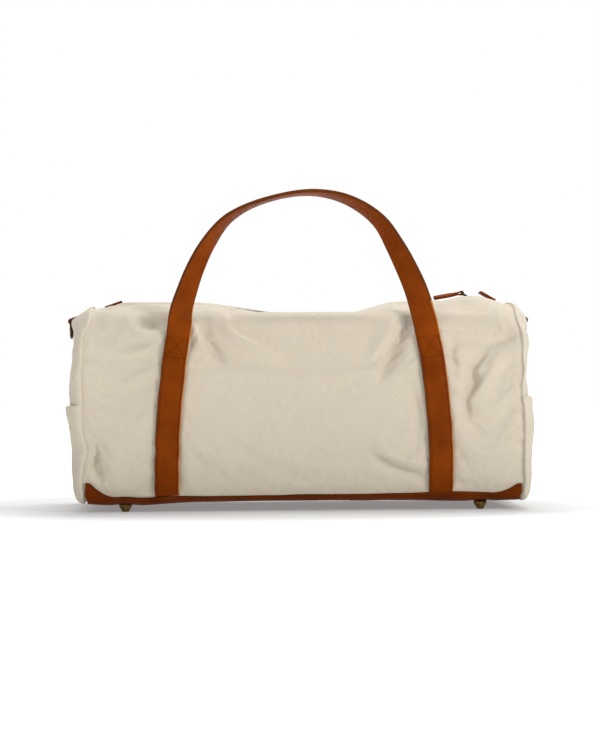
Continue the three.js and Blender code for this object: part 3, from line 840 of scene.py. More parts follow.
def end_bulge(end, y, z):
    """How far an end panel swells: the left one is full, and the right one has sunk over its pocket."""
    under_tab = 6.5 * bump(236, 14, z) * bump(0, 28, y)
    brow = (8.5 if end < 0 else 5.5) * bump(238, 15, z) * bump(-34, 30, y)
    top = np.maximum(under_tab, brow)
    if end < 0:
        return END_BULGE * 0.68 + 5 * bump(150, 40, z) + top
    return END_BULGE * 0.58 - 6 * bump(165, 26, z) + 1.5 * bump(236, 16, z) + top


def pocket_bulge(end, _, z):
    """How far a slip pocket stands out: close over the panel low down, and slack at its mouth."""
    if end < 0:
        return END_BULGE * 0.82 + 7.5 * smooth(76, POCKET_TOP, z)
    return END_BULGE * 0.76 + 0.6 * bump(95, 30, z)


# Folds over the ends, as (y, z) routes like those of the walls; the pockets have their own.
PANEL_FOLDS = [
    ([(-82, 214), (-60, 196), (-30, 186)], 7, 4.2, 0.5),
    ([(84, 206), (58, 190), (34, 164)], 7, -4.2, 0.5),
    ([(14, 206), (18, 190), (6, 168)], 8, -3.4, -0.4),
    ([(-20, 176), (14, 166), (50, 150)], 8, 3.4, 0.4),
]
POCKET_FOLDS = [
    ([(-98, 116), (-76, 96), (-66, 70)], 8, 3.6, 0.5),
    ([(96, 110), (78, 84), (50, 68)], 8, -3.6, 0.5),
    ([(-40, 40), (-10, 48), (30, 38)], 9, -3.0, 0.4),
    ([(-30, 118), (-22, 96), (-34, 78)], 8, 2.6, 0.3),
]


def dome(rim, end, bulge, lift, folds, seed, wrinkle=1.0):
    """A pillow over an end's rim: rings of points from the rim to the middle."""
    turns = np.linspace(0, math.pi / 2, 17)
    scales = np.concatenate([0.5 + 0.5 * np.cos(turns), np.linspace(0.5, 0.03, 11)[1:]])
    rise = np.concatenate([np.sin(turns) ** 0.6, np.ones(10)])
    scales, rise = scales[:, None], rise[:, None]
    y = rim[:, 1] * scales
    z = CENTRE_Z + (rim[:, 2] - CENTRE_Z) * scales
    x = end * SEAM_X + (rim[:, 0] - end * SEAM_X) * smooth(0.84, 1, scales)
    x += end * (lift * smooth(1.02, 0.96, scales) + bulge(end, y, z) * rise)
    angle = np.linspace(0, 1, len(rim), endpoint=False)[None, :]
    gather = np.exp(-(1 - scales) / 0.1) * noise2(angle * 60, 4 + 0 * angle, seed + 1)
    crumpled = 1.2 * crumple(y / 48, z / 44, seed) + 0.4 * crumple(y / 17, z / 15, seed + 4) + gather
    x += end * smooth(0, 0.12, 1 - scales) * (wrinkle * crumpled + fold_relief(end * y, z, folds))
    return np.stack([x, y, z], axis=-1)


def dome_piece(name, rings, end, material):
    """A dome's rings as a sheet, closed in its middle."""
    rows, cols = rings.shape[:2]
    faces = grid_faces(rows, cols, closed=True, turned=end > 0)
    middle = list(range((rows - 1) * cols, rows * cols))
    faces.append(middle[::-1] if end > 0 else middle)
    return mesh_piece(name, rings, faces, material, rings[..., 1:])


def thicken(piece, thick):
    """Gives a single sheet its thickness, inwards."""
    modifier = piece.modifiers.new("thickness", "SOLIDIFY")
    modifier.thickness = thick * MM
    modifier.offset = -1


def mouth_sag(y):
    """How far a pocket's mouth droops between its seams."""
    y = np.asarray(y, float)
    return POCKET_DROOP * (1 - (y / 112) ** 2) + 1.2 * noise2(y / 30, 0 * y + 8, 17)


def cut_above(piece, height):
    """Removes what lies above a pocket's drooping mouth, which has this height at its seams."""
    work = bmesh.new()
    work.from_mesh(piece.data)

    def shift(sign):
        for vert in work.verts:
            vert.co.z += sign * float(mouth_sag((vert.co.y - MID_Y) / MM)) * MM

    shift(1)
    whole = work.verts[:] + work.edges[:] + work.faces[:]
    plane = Vector((0, 0, height * MM))
    bmesh.ops.bisect_plane(work, geom=whole, plane_co=plane, plane_no=(0, 0, 1), clear_outer=True)
    shift(-1)
    work.to_mesh(piece.data)
    work.free()


def edge_at_height(rings, height):
    """Where a dome meets a line under a pocket's mouth, as a path from the back to the front."""
    path = []
    for spoke in np.moveaxis(rings, 1, 0):
        over = spoke[:, 2] + mouth_sag(spoke[:, 1]) - height
        if over[0] * over[-1] > 0:
            continue
        k = int(np.argmax(over[:-1] * over[1:] <= 0))
        t = -over[k] / (over[k + 1] - over[k] + 1e-9)
        path.append(spoke[k] * (1 - t) + spoke[k + 1] * t)
    path = np.array(path)
    return path[np.argsort(path[:, 1])]


def end_seam(name, end, rim):
    """The lumpy roll of an end's seam."""
    way = unit(np.roll(rim, -1, axis=0) - np.roll(rim, 1, axis=0))
    outward = unit(np.cross(way, np.array([end * 1.0, 0, 0])) * -end)
    turns = np.linspace(0, 2 * math.pi, 8, endpoint=False)
    cord = np.stack([1.1 * np.cos(turns), 0.8 * np.sin(turns)], axis=1)
    along_x = np.broadcast_to([1.0, 0, 0], rim.shape)
    lump = (1 + 0.6 * noise2(np.arange(len(rim)) / 2.3, np.ones(len(rim)), 9))[:, None]
    line = rim + outward * 0.5 * lump
    welt = sweep(f"{name}_end_seam", line, along_x, outward, cord, CANVAS, closed=True)
    settle(welt, "bag", "canvas")


def end_pocket(name, end, rim):
    """An end's slip pocket, with the stitched hem of its mouth."""
    rings = dome(rim, end, pocket_bulge, 0.8, POCKET_FOLDS, 90 + end, wrinkle=0.5)
    top = POCKET_TOP + (8 if end > 0 else 0)
    pocket = dome_piece(f"{name}_pocket_canvas", rings, end, CANVAS)
    cut_above(pocket, top)
    thicken(pocket, CANVAS_THICK)
    settle(pocket, "bag", "canvas", f"{name}_end_pocket")

    width, thick = POCKET_HEM
    mouth = resample(edge_at_height(rings, top - 5), 90)
    up = np.broadcast_to([0, 0, 1.0], mouth.shape)
    out = facing(mouth, up)
    out = out * np.sign(out[:, :1] * end + 1e-9)
    hem = sweep(f"{name}_pocket_hem", mouth + out * 0.1, up, out, rounded(width, thick, 1.2), CANVAS)
    settle(hem, "bag", "canvas")
    runs = [(mouth + out * 1.45 - up * 3.2, out)]
    settle(stitches(f"{name}_pocket_stitching", runs, CREAM_THREAD, 2.6, radius=0.3), "bag", "canvas")


def end_pieces(name, end):
    """An end panel, its seam and its pocket; returns the panel's line below the zip."""
    rim = end_rim(end)
    rings = dome(rim, end, end_bulge, 0, PANEL_FOLDS, 70 + end)
    panel = dome_piece(f"{name}_end_canvas", rings, end, CANVAS)
    thicken(panel, CANVAS_THICK)
    settle(panel, "bag", "canvas", f"{name}_end_panel")
    end_seam(name, end, rim)
    end_pocket(name, end, rim)
    return rings[:, int(np.argmax(rim[:, 2] - np.abs(rim[:, 1])))]


# ---------------------------------------------------------------- leather base and what is inside
LOWER_LINE = np.vstack([[[0, BASE_Z]], CORNER[:-1], WALL[:24]])
LOWER_ALONG = arc_lengths(LOWER_LINE)


def base_top(x):
    """The height of the leather base's upper edge."""
    x = np.asarray(x, float)
    corner = np.clip((np.abs(x) - 226) / 37, 0, 1) ** 2.4
    wave = 4 * bump(178, 50, x) + 0.8 * noise2(x / 42, 0 * x + 2, 31)
    return 19.5 + np.where(x < 0, 17, 12) * corner + wave


def base_slump(x):
    """How far the base sags between its feet."""
    left = 4.0 * bump(-215, 60, x) - 2.4 * bump(-219, 13, x)
    return left + 1.8 * bump(205, 70, x) - 1.4 * bump(219, 13, x)


def base_grid():
    """The base from its front edge under the bag to its back edge, close-set at the two edges."""
    x = np.linspace(-SEAM_X + 1.5, SEAM_X - 1.5, 181)
    edge = np.linspace(0.7, 1, 22)
    share = np.concatenate([-edge[::-1], np.linspace(-0.7, 0.7, 20)[1:-1], edge])
    u, t = np.meshgrid(x, share)
    s = np.abs(t) * np.interp(base_top(u), LOWER_LINE[1:, 1], LOWER_ALONG[1:])
    line, normal = line_and_normals(s, LOWER_ALONG, LOWER_LINE)
    low_y, low_z = line[..., 0], line[..., 1]
    stand = 2.4 * smooth(88, 104, low_y) + 0.3 * noise2(u / 30, t * 9, 33)
    y = np.sign(t) * (low_y + normal[..., 0] * stand)
    z = low_z - base_slump(u) * (1 - smooth(14, 26, low_z)) + 0.4 * noise2(u / 36, t * 5, 35)
    drawn = 1.5 * smooth(0.75, 1, np.abs(t)) + 4 * (1 - smooth(9, 24, z))
    x = u - np.sign(u) * smooth(225, SEAM_X, np.abs(u)) * drawn
    return np.stack([x, y, z], axis=-1), np.stack([u, s * np.sign(t)], axis=-1)


def leather_base():
    """The leather base and the stitching along its two upper edges."""
    grid, uv = base_grid()
    flipped = grid[:, ::-1]
    normals = grid_normals(flipped)
    base = shell_piece("base_leather", flipped, normals, BASE_THICK, SHADED_BASE_LEATHER, uv[:, ::-1])
    settle(base, "bag", "leather", "base_panel")
    runs = [(flipped[k], normals[k]) for k in (2, -3)]
    settle(stitches("base_stitching", runs, TAN_THREAD), "bag", "leather")


def inner_board():
    """The cloth-covered stiffener that lies on the base."""
    low, high = box_mm("base_board")
    path = np.array([[0, low[1], low[2] + 1.5], [0, high[1], high[2] - 1.5]])
    out = np.broadcast_to([0, 0, 1.0], (2, 3))
    side = np.broadcast_to([-1.0, 0, 0], (2, 3))
    piece = sweep("inner_board", path, side, out, rounded(high[0] - low[0], 3, 1.4), LINING)
    settle(piece, "bag", "board", "base_board")


def seam_bindings():
    """The tape over the seam allowance inside each end."""
    for name, end in (("left", -1), ("right", 1)):
        rim = end_rim(end)
        centre = np.array([end * SEAM_X, 0, CENTRE_Z])
        inner = centre + (rim - centre) * 0.958
        inner[:, 0] = end * (SEAM_X - 5.5)
        way = unit(np.roll(inner, -1, axis=0) - np.roll(inner, 1, axis=0))
        along_x = np.broadcast_to([1.0, 0, 0], inner.shape)
        out = unit(np.cross(way, along_x))
        tape = rounded(7, 2.2, 1.0)
        piece = sweep(f"{name}_binding_tape", inner, along_x, out, tape, TAPE, closed=True)
        settle(piece, "bag", "binding", f"{name}_seam_binding")


# ---------------------------------------------------------------- straps and handles
# The front handle's middle line from left to right, as (x, height above its hinge).
HANDLE_LOOP = [
    (-151.8, 0), (-149.2, 26), (-141.5, 52), (-131.4, 78.5), (-117.8, 105), (-99, 131), (-81, 145.5),
    (-59, 156.4), (-33, 164.6), (-6, 169.6), (20, 170), (48.6, 164), (75.5, 150.5), (97, 131.5), (113, 105),
    (126.3, 78.5), (137.6, 52), (145.5, 26), (151.8, 0),
]
HANDLE_TOP = 170
HANDLE_LEAN = math.radians(4)
# How far the strap has turned from facing front to facing down, in degrees, by height above the hinge.
TURN_HEIGHTS = [0, 25, 52, 78, 105, 131, 146, 162, 169]
TURN_LEFT = [0, 33, 40, 50, 59, 72, 84, 91, 94]
TURN_RIGHT = [0, 22, 32, 41, 51, 66, 72, 79, 86]


def handle_line(lean, curl, flat, turned):
    """The strap's middle, sides and faces, in the front's space, from its left end to its right end.

    It lies flat up to one height over its hinge, and has its full twist from another.
    """
    x, h = spline(HANDLE_LOOP, 181).T
    bend = curl * (h / HANDLE_TOP) ** 2
    y = -HANDLE_Y + h * math.sin(lean) + bend * math.cos(lean)
    z = HANDLE_Z + h * math.cos(lean) - bend * math.sin(lean)
    path = np.stack([x, y, z], axis=1)
    plane = np.array([0, -math.cos(lean), math.sin(lean)])
    left, right = (np.interp(h, TURN_HEIGHTS, turn) for turn in (TURN_LEFT, TURN_RIGHT))
    turn = np.radians(left + (right - left) * smooth(-50, 50, x))
    turn = np.convolve(np.pad(turn, 9, mode="edge"), np.ones(19) / 19, mode="valid")
    turn = turn * smooth(flat, turned, h)
    way = unit(np.gradient(path, axis=0))
    outer = unit(np.cross(plane, way))
    side = outer * np.cos(turn)[:, None] + plane * np.sin(turn)[:, None]
    face = plane * np.cos(turn)[:, None] - outer * np.sin(turn)[:, None]
    return path, side, face


def sewn_line(x_sign, low, high, count=60):
    """The middle, sides and faces of a strap sewn to the front wall, from its low end upwards."""
    z = np.linspace(low, high, count)
    s = along_at_height(z)
    yz, normal = section(s)
    face = np.stack([0 * z, -normal[:, 0], normal[:, 1]], axis=1)
    wobble = 0.4 * noise2(z / 15, 0 * z + 3 * x_sign + 6, 81) * smooth(0, 12, high - z)
    lift = (0.5 + STRAP_THICK / 2 - 3.4 * (1 - smooth(22, 36, z)))[:, None]
    path = np.stack([x_sign * strap_x(z) + wobble, -yz[:, 0], yz[:, 1]], axis=1) + face * lift
    way = unit(np.gradient(path, axis=0))
    side = unit(np.cross(face, way))
    return path, side, face


def strap_stitches(name, x_sign, turned):
    """Edge rows and the boxed cross that hold a strap to the wall."""
    path, side, face = sewn_line(x_sign, 24, 217.5)
    half = STRAP_WIDTH / 2 - STITCH_INSET
    top = path + face * (STRAP_THICK / 2 + 0.1)
    runs = [(top + side * half, face), (top - side * half, face)]
    low = int(np.argmin(np.abs(path[:, 2] - 190)))
    rows = np.arange(len(path))
    for (k1, a1), (k2, a2) in (
        ((low, -1), (low, 1)), ((-1, -1), (-1, 1)), ((low, -1), (-1, 1)), ((low, 1), (-1, -1)),
    ):
        t = np.linspace(0, 1, 12)[:, None]
        line = (top[k1] + side[k1] * a1 * half) * (1 - t) + (top[k2] + side[k2] * a2 * half) * t
        on_wall = between(np.interp(line[:, 2], path[:, 2], rows), rows, top)
        line[:, 1] = on_wall[:, 1]
        runs.append((line, face[k1] * (1 - t) + face[k2] * t))
    if turned:
        runs = [(p * [-1, -1, 1], n * [-1, -1, 1]) for p, n in runs]
    settle(stitches(name, runs, TAN_THREAD, length=3.0, gap=1.2), "bag", "leather")


def front_strap():
    """The front's one long strap: sewn up the left, over as the handle, and down the right."""
    loop, loop_side, _ = handle_line(HANDLE_LEAN, 0, 0, 22)
    left, left_side, _ = sewn_line(-1, SEWN_LOW, 214)
    right, right_side, _ = sewn_line(1, SEWN_LOW, 214)
    keep = loop[:, 2] > HANDLE_Z + 7
    flip = np.sign((left_side[-1] * loop_side[keep][0]).sum())
    path, side, face = even_strip(
        np.vstack([left, loop[keep], right[::-1]]),
        np.vstack([left_side, loop_side[keep] * flip, right_side[::-1] * -1]), 380,
    )
    # The sewn legs show the raw edge on their +x side, where the light from the right falls. Their -x side
    # and the handle's crown take the darker edge, which is painted shade.
    raw = path[:, 2] < HANDLE_Z + 34
    outer_kind = np.where(raw & (path[:, 0] > 0), 1, 2)
    inner_kind = np.where(raw & (path[:, 0] < 0), 1, 2)
    high_is_outer = side[0][0] < 0
    strap = sweep(
        "front_handle_leather", path, side, face, rounded(STRAP_WIDTH, STRAP_THICK, 1.2),
        [LEATHER, EDGE, SHADED_EDGE], edge_beyond=STRAP_WIDTH / 2 - 0.9,
        edges=(inner_kind, outer_kind) if high_is_outer else (outer_kind, inner_kind),
    )
    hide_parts("front_handle", "front_left_strap", "front_right_strap")
    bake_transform(strap)
    for name, x_sign in (("left", -1), ("right", 1)):
        strap_stitches(f"front_{name}_stitching", x_sign, False)


# The back handle's root in (y, z), from under the top of its sewn strap over to where it hangs, with a soft
# bend.
ROOT_ARCH = [(106.4, 212), (106.8, 217.5), (109.3, 220.9), (112.8, 221.5), (115.8, 218.7), (118.4, 211.8)]
ROOT_REACH = 25
ROOT_X = 152.0
HANDLE_HANG = -math.radians(156)


def back_strap():
    """The back's sewn straps, and its handle hanging down behind."""
    turn = np.array([-1, -1, 1])
    look = {"outline": rounded(STRAP_WIDTH, STRAP_THICK, 0.9), "materials": [LEATHER, EDGE],
            "edge_beyond": STRAP_WIDTH / 2 - 0.5}
    for name, x_sign in (("right", -1), ("left", 1)):
        path, side, face = (a * turn for a in sewn_line(x_sign, SEWN_LOW, SEWN_TOP))
        strap = sweep(f"back_{name}_strap_leather", path, side, face, **look)
        settle(strap, "bag", "leather", f"back_{name}_strap")
        strap_stitches(f"back_{name}_stitching", x_sign, True)
    loop, loop_side, _ = handle_line(HANDLE_HANG, 9, 20, 66)
    keep = np.hypot(loop[:, 1] + HANDLE_Y, loop[:, 2] - HANDLE_Z) > ROOT_REACH
    loop, loop_side = loop[keep], loop_side[keep]
    roots = []
    for x, end in ((-ROOT_X, 0), (ROOT_X, -1)):
        over = spline([(x, -y, z) for y, z in ROOT_ARCH] + [tuple(loop[end])], 30)[:-1]
        roots.append((over, np.broadcast_to([np.sign(x), 0, 0], over.shape)))
    (left, left_side), (right, right_side) = roots
    path = np.vstack([left, loop, right[::-1]]) * turn
    side = np.vstack([left_side, loop_side, right_side]) * turn
    path, side, face = even_strip(path, side, 260)
    strap = sweep("back_handle_leather", path, side, face, **look)
    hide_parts("back_handle")
    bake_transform(strap)


# ---------------------------------------------------------------- zip
def zip_rise(x):
    """How far the zip stands off the frame's level: it sags with the top, and is straight at its ends."""
    return np.minimum(top_rise(x), 0) + 0.6 * bump(-40, 90, x)


# A zip tooth as (distance from the middle, half-width, half-height), from its tip, which reaches past the
# middle to lock with its neighbours.
TOOTH = [(-0.5, 0.558, 0.9), (0.7, 0.775, 1.0), (3.3, 0.62, 1.5)]


def tooth(x, side, z):
    """The corners of one zip tooth."""
    corners = ((-1, -1), (1, -1), (1, 1), (-1, 1))
    return [(x + a * wide, side * y, z + b * tall) for y, wide, tall in TOOTH for a, b in corners]


def zip_half(name, side, low, high, offset):
    """The teeth and the tape of one side of the zip, between two places along it."""
    points, faces, uv = [], [], []
    for k in range(int((high - low) / TEETH_PITCH)):
        x = low + (k + offset) * TEETH_PITCH
        first = len(points)
        points += tooth(x, side, ZIP_Z + float(zip_rise(x)))
        uv += [(x, 0)] * 12
        faces += grid_faces(3, 4, first, closed=True, turned=side < 0)
        faces += [list(range(first, first + 4))[::-1], list(range(first + 8, first + 12))]
    teeth = mesh_piece(f"{name}_teeth", points, faces, DARK_BRASS, uv)
    teeth.data.polygons.foreach_set("use_smooth", [False] * len(teeth.data.polygons))
    across = np.array([2.6, 5, 9, TAPE_WIDTH])
    x = np.linspace(low, high, max(8, int((high - low) / 4)))
    u, v = np.meshgrid(x, across if side > 0 else across[::-1])
    z = ZIP_Z - 0.4 + zip_rise(u) * (1 - 0.1 * v / TAPE_WIDTH)
    grid = np.stack([u, side * v, z], axis=-1)
    normals = grid_normals(grid)
    normals = normals * np.sign(normals[..., 2:])
    return teeth, shell_piece(f"{name}_tape", grid, normals, 0.7, TAPE, np.stack([u, v], axis=-1))


def zipper():
    """The teeth and tapes of the zip."""
    reach = ZIP_END - 3
    for row, side, offset in (("front", -1, 0.25), ("back", 1, 0.75)):
        for half, low, high in (("left", -reach, 0.0), ("right", 0.0, reach)):
            teeth, tape = zip_half(f"{row}_zip_{half}", side, low, high, offset)
            for piece, part, slot in ((teeth, "teeth", "zip_metal"), (tape, "tape", "zip_tape")):
                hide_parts(f"{row}_zip_{part}", f"{half}_zip_end")
                mouth_blend(piece)


def plate(name, outline, low, high, material, bevel=0.35):
    """A flat plate from its outline in (x, y), with softened edges."""
    count = len(outline)
    points = [(x, y, z) for z in (low, high) for x, y in outline]
    faces = [list(range(count))[::-1], list(range(count, 2 * count))]
    faces += [[k, (k + 1) % count, count + (k + 1) % count, count + k] for k in range(count)]
    piece = mesh_piece(name, points, faces, material, outline * 2)
    modifier = piece.modifiers.new("soft edges", "BEVEL")
    modifier.width = bevel * MM
    modifier.segments = 2
    return piece


def slider():
    """The zip's slider: two plates that widen towards its mouth, and the bridge that holds the pull."""
    low, high = box_mm("zip_slider")
    middle, half = (low[0] + high[0]) / 2, (high[0] - low[0]) / 2
    shape = [(-half, 3.2), (-half * 0.2, 3.6), (half * 0.55, 5.8), (half, 5.0)]
    outline = [(middle + x, -y) for x, y in shape] + [(middle + x, y) for x, y in reversed(shape)]
    for part, bottom, top in (("top", 2.4, 4.2), ("bottom", -4.2, -2.4)):
        part = plate(f"slider_{part}_plate", outline, ZIP_Z + bottom, ZIP_Z + top, DARK_BRASS)
        settle(part, "slider", "zip_metal", "zip_slider")
    arch = [(-5.2, 3.8), (-4.6, 7.6), (-1.5, 8.7), (2.4, 8.2), (4.6, 3.8)]
    arch = spline([(middle + x, 0, ZIP_Z + z) for x, z in arch], 24)
    side = np.broadcast_to([0, 1.0, 0], arch.shape)
    bridge = sweep("slider_bridge", arch, side, facing(arch, side), rounded(3.4, 1.3, 0.5), DARK_BRASS)
    settle(bridge, "slider", "zip_metal")


def pull_wire():
    """The wire link between the slider's bridge and the leather pull."""
    far, rise = TAB[0] - LINK[0], TAB[2] - LINK[2]
    half = [(0, 4.2), (-1.8, 6), (far + 1.2, 6.2), (far, 5.2)]
    loop = [(0, -4.2), *half, *((x, -y) for x, y in half[::-1])]
    loop = spline([(x, y, rise * (x < -2)) for x, y in loop], 73)[:-1]
    loop = loop + np.array([LINK[0], 0, LINK[2]])
    loop[:, 2] = LINK[2] + rise * (loop[:, 0] - LINK[0]) / far
    settle(wire("pull_wire", loop, 0.95, DARK_BRASS, closed=True), "pull_link", "zip_metal", "pull_link")


def pull():
    """The leather pull, folded round the wire's bar, with its stitching and eyelet."""
    droop = math.radians(PULL_DROOP)
    reach = np.array([-math.cos(droop), 0, -math.sin(droop)])
    lift = np.array([-math.sin(droop), 0, math.cos(droop)])
    bar = np.array([TAB[0], 0, TAB[2]])

    def rolled(points):
        """The pull's points turned about its length, more so towards its tip, so that its face shows."""
        away = points - bar
        along, across, above = away @ reach, away[:, 1], away @ lift
        roll = math.radians(PULL_ROLL) * smooth(2, 16, along)
        new_across = across * np.cos(roll) - above * np.sin(roll)
        new_above = above * np.cos(roll) + across * np.sin(roll)
        turned = new_across[:, None] * [0, 1, 0] + new_above[:, None] * lift
        return bar + along[:, None] * reach + turned

    turns = np.radians(np.linspace(-100, 100, 14))
    bend = [bar + 2.1 * (lift * math.sin(t) - reach * math.cos(t)) for t in turns]
    layer = [(3, 1.5), (6, 0.9), (PULL_LENGTH * 0.5, 0.75), (PULL_LENGTH, 0.75)]
    lower = [bar + reach * d - lift * h for d, h in reversed(layer)]
    upper = [bar + reach * d + lift * h for d, h in layer]
    path = spline(lower + bend + upper, 90)
    flat_side = np.broadcast_to([0, 1.0, 0], path.shape)
    path, edge = rolled(path), rolled(path + flat_side)
    side = unit(edge - path)
    leather = sweep("pull_leather", path, side, facing(path, side), rounded(*PULL, 0.6), LEATHER)
    settle(leather, "pull_tab", "leather", "pull_tab")

    def surface(d, y):
        """A point on the pull's upper face before it is rolled."""
        return bar + reach * d + lift * 1.65 + np.array([0, y, 0])

    last, half = PULL_LENGTH - 2.5, 2.8
    rows = [[surface(d, y) for d in np.linspace(9, last, 12)] for y in (-half, half)]
    rows.append([surface(last, y) for y in np.linspace(-half, half, 12)])
    runs = [(rolled(np.array(row)), np.tile(lift, (12, 1))) for row in rows]
    settle(stitches("pull_stitching", runs, TAN_THREAD, 1.9, 0.8, 0.25), "pull_tab", "leather")
    turns = np.linspace(0, 2 * math.pi, 28, endpoint=False)
    circle = [surface(5.6, 0) + 2.0 * np.array([math.cos(t), math.sin(t), 0]) for t in turns]
    eyelet = wire("pull_eyelet", rolled(np.array(circle)), 0.6, BRASS, closed=True)
    settle(eyelet, "pull_tab", "zip_metal")


# The leather tabs over the zip's two ends: the (x, height) of the outer end and the inner end of each.
ZIP_TAB_ENDS = {"left": ((-246, -7.0), (-224.6, 0.6)), "right": ((250.5, 0.6), (231.8, 11.4))}


def zip_tabs():
    """The leather tabs over the two ends of the zip, with their stitching."""
    width, thick = ZIP_TAB
    for name, (outer, inner) in ZIP_TAB_ENDS.items():
        x = np.linspace(outer[0], inner[0], 14)
        z = TOP_Z + 0.4 + np.linspace(outer[1], inner[1], 14)
        path = np.stack([x, 0 * x, z], axis=1)
        side = np.broadcast_to([0, float(np.sign(inner[0] - outer[0])), 0], path.shape)
        out = facing(path, side)
        tab = sweep(f"{name}_zip_tab_leather", path, side, out, rounded(width, thick, 0.9), LEATHER)
        settle(tab, "bag", "leather", f"{name}_zip_tab")
        inside = slice(1, -2)
        top, reach = path[inside] + out[inside] * 1.35, side[inside] * (width / 2 - 2.4)
        runs = [(top - reach, out[inside]), (top + reach, out[inside])]
        settle(stitches(f"{name}_zip_tab_stitching", runs, TAN_THREAD, 2.4, 1.0, 0.32), "bag", "leather")


# ---------------------------------------------------------------- rings, feet
def ring_pieces(name, end, crest):
    """A D-ring, and the leather tab that holds it, laid along the end panel's line below the zip."""
    x, z = end * RING[0], RING[2]
    half, square = RING_HALF_WIDTH, 4  # the ring's sides are straight over this height
    turns = np.linspace(0, math.pi, 25)
    bow = [(x, -half * math.cos(t), z - square - (RING_DROP - square) * math.sin(t)) for t in turns]
    bar = [(x, y, z) for y in np.linspace(half - 1.2, -half + 1.2, 11)]
    loop = resample(np.array([*bow, *bar, bow[0]]), 97)[:-1]
    ring = wire(f"{name}_d_ring", loop, RING_WIRE, DARK_BRASS, closed=True, sides=12)
    settle(ring, f"{name}_ring", "brass", f"{name}_ring")

    turns = np.radians(np.linspace(-70, 160, 15))
    bend = [(x + end * 3.1 * math.cos(t), 0, z - 3.1 * math.sin(t)) for t in turns]
    way = unit(np.gradient(crest, axis=0))
    lifted = crest + 1.5 * unit(np.stack([-way[:, 2], 0 * way[:, 0], way[:, 0]], axis=1) * end)
    lifted[:, 1] = 0
    over = resample(lifted[lifted[:, 2] > z + 7], 4)
    path = spline([*over, *bend, (x - end * 5.5, 0, z + 1.5)], 90)
    side = np.broadcast_to([0, float(end), 0], path.shape)
    face = facing(path, side)
    tab = sweep(f"{name}_ring_tab_leather", path, side, face, rounded(*RING_TAB, 0.6), LEATHER)
    settle(tab, "bag", "leather", f"{name}_ring_tab")

    sewn, reach = slice(6, 26), RING_TAB[0] / 2 - STITCH_INSET
    top, top_face, across = path[sewn] + face[sewn] * 1.1, face[sewn], side[sewn]
    runs = [(top + across * y, top_face) for y in (-reach, reach)]
    for k in (0, -1):
        line = np.array([top[k] + side[0] * y for y in np.linspace(-reach, reach, 8)])
        runs.append((line, np.tile(top_face[k], (8, 1))))
    settle(stitches(f"{name}_ring_tab_stitching", runs, TAN_THREAD, 2.2, 0.9, 0.3), "bag", "leather")


# A turned foot as (radius, height), up to the leather.
FOOT_PROFILE = [(3.3, 0.1), (4.1, 0.4), (4.6, 1.4), (7.6, 6.6), (8.1, 7.2), (8.3, 8.2)]


def feet():
    """The four turned feet, and inside the bag the washers that their rivets hold."""
    for place in (f"{row}_{end}" for row in ("front", "back") for end in ("left", "right")):
        low, high = box_mm(f"foot_{place}")
        middle = (low + high) / 2
        top = BASE_Z + 0.2 - 1.2 * (middle[0] < 0)
        foot = lathe(f"foot_{place}_brass", FOOT_PROFILE + [(7.8, top)], middle[:2], BRASS)
        settle(foot, "bag", "brass", f"foot_{place}")
        low, high = box_mm(f"washer_{place}")
        disc = [(9, low[2]), (9, low[2] + 0.9), (8.2, high[2])]
        rivet = [(4, high[2] + 0.3), (3.4, high[2] + 1.4), (1.2, high[2] + 1.8)]
        washer = lathe(f"washer_{place}_brass", disc + rivet, middle[:2], BRASS)
        settle(washer, "bag", "brass", f"washer_{place}")


# ---------------------------------------------------------------- camera, floor and light
CAMERA_TURN, CAMERA_ROLL = math.radians(-3), math.radians(0.3)
CAMERA_DISTANCE, CAMERA_HEIGHT = 2.7, 0.167


def camera():
    """Level with the bag and a little to the left of its middle."""
    data = bpy.data.cameras.new("camera")
    data.lens = 101.7
    data.sensor_width = 36
    data.shift_x = 0.001
    cam = bpy.data.objects.new("camera", data)
    x, y = math.sin(CAMERA_TURN), -math.cos(CAMERA_TURN)
    cam.location = (x * CAMERA_DISTANCE, MID_Y + y * CAMERA_DISTANCE, CAMERA_HEIGHT)
    cam.rotation_euler = (math.radians(90), CAMERA_ROLL, CAMERA_TURN)
    SCENE.collection.objects.link(cam)
    SCENE.camera = cam


def area_light(name, place, size, power):
    """A white panel of light, turned to the bag's middle."""
    data = bpy.data.lights.new(name, "AREA")
    data.shape = "RECTANGLE"
    data.size, data.size_y = size
    data.energy = power
    light = bpy.data.objects.new(name, data)
    light.location = place
    way = Vector((0, MID_Y, 0.15)) - Vector(place)
    light.rotation_euler = way.to_track_quat("-Z", "Y").to_euler()
    SCENE.collection.objects.link(light)


FLOOR_REACH = 9.0
WORLD_LIGHT = 0.33


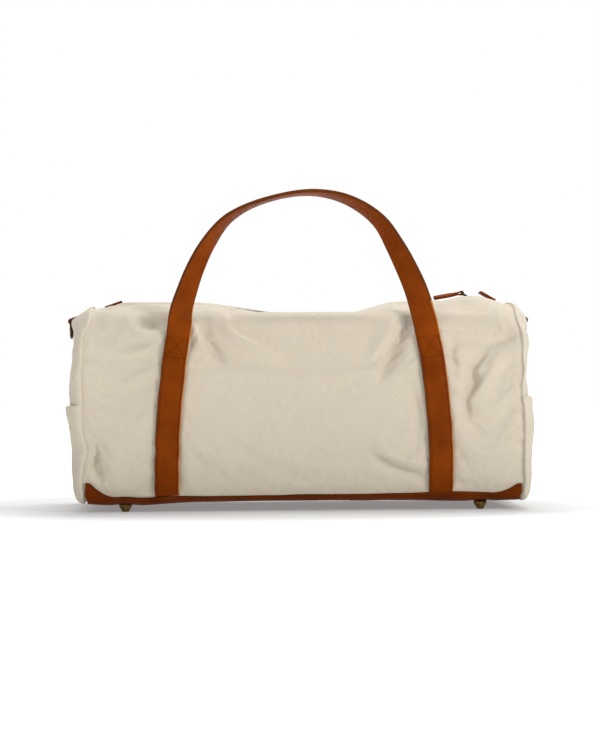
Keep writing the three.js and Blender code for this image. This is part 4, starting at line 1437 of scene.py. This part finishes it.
def floor_finish():
    """Pale floor that glows: faintly near the bag, painted light that lifts the shadow under it, and fading
    into the white of the studio farther off.
    """
    f = Finish("floor", Roughness=0.9, Specular_IOR_Level=0.1, Base_Color=(0.56, 0.56, 0.56, 1))
    f.shader.inputs["Emission Color"].default_value = (1, 1, 1, 1)
    place = f.node("ShaderNodeTexCoord").outputs["Object"]
    squeezed = f.node("ShaderNodeMapping", {"Vector": place, "Scale": (1.0, 1.5, 1.0)}).outputs[0]
    distance = f.node("ShaderNodeVectorMath", {0: squeezed}, operation="LENGTH").outputs["Value"]
    # Painted light: a glow of 0.24 near the bag lightens the shadow beneath it, rising to 1.2 far off for
    # the white backdrop.
    f.paint("Emission Strength", f.spread(distance, 0.4, 1.1, 0.24, 1.2))
    return f.material


def surroundings():
    """White where the camera sees past the floor, and a dimmer light from all round on the bag."""
    world = bpy.data.worlds.new("studio")
    world.use_nodes = True
    SCENE.world = world
    tree = world.node_tree
    light = tree.nodes["Background"]
    seen = tree.nodes.new("ShaderNodeBackground")
    for shade, strength in ((light, WORLD_LIGHT), (seen, 1.0)):
        shade.inputs["Color"].default_value = (1, 1, 1, 1)
        shade.inputs["Strength"].default_value = strength
    path = tree.nodes.new("ShaderNodeLightPath")
    mix = tree.nodes.new("ShaderNodeMixShader")
    tree.links.new(path.outputs["Is Camera Ray"], mix.inputs[0])
    tree.links.new(light.outputs[0], mix.inputs[1])
    tree.links.new(seen.outputs[0], mix.inputs[2])
    tree.links.new(mix.outputs[0], tree.nodes["World Output"].inputs["Surface"])
    SCENE.view_settings.view_transform = "Standard"


def studio():
    """The pale floor, the surroundings and three soft lights."""
    surroundings()
    mesh = bpy.data.meshes.new("floor")
    corners = [(-1, -1), (1, -1), (1, 1), (-1, 1)]
    mesh.from_pydata([(x * FLOOR_REACH, y * FLOOR_REACH, 0) for x, y in corners], [], [(0, 1, 2, 3)])
    mesh.materials.append(floor_finish())
    floor = bpy.data.objects.new("floor", mesh)
    SCENE.collection.objects.link(floor)
    area_light("top", (0.2, MID_Y + 0.75, 2.1), (1.8, 1.2), 50)
    area_light("key", (1.9, MID_Y - 1.9, 1.3), (0.8, 0.8), 39)
    area_light("fill", (-1.8, MID_Y - 2.4, 1.2), (1.6, 1.4), 17)


camera()
studio()
canvas_bag()
for END_NAME, END in (("left", -1), ("right", 1)):
    ring_pieces(END_NAME, END, end_pieces(END_NAME, END))
leather_base()
inner_board()
seam_bindings()
front_strap()
back_strap()
zipper()
slider()
pull_wire()
pull()
zip_tabs()
feet()
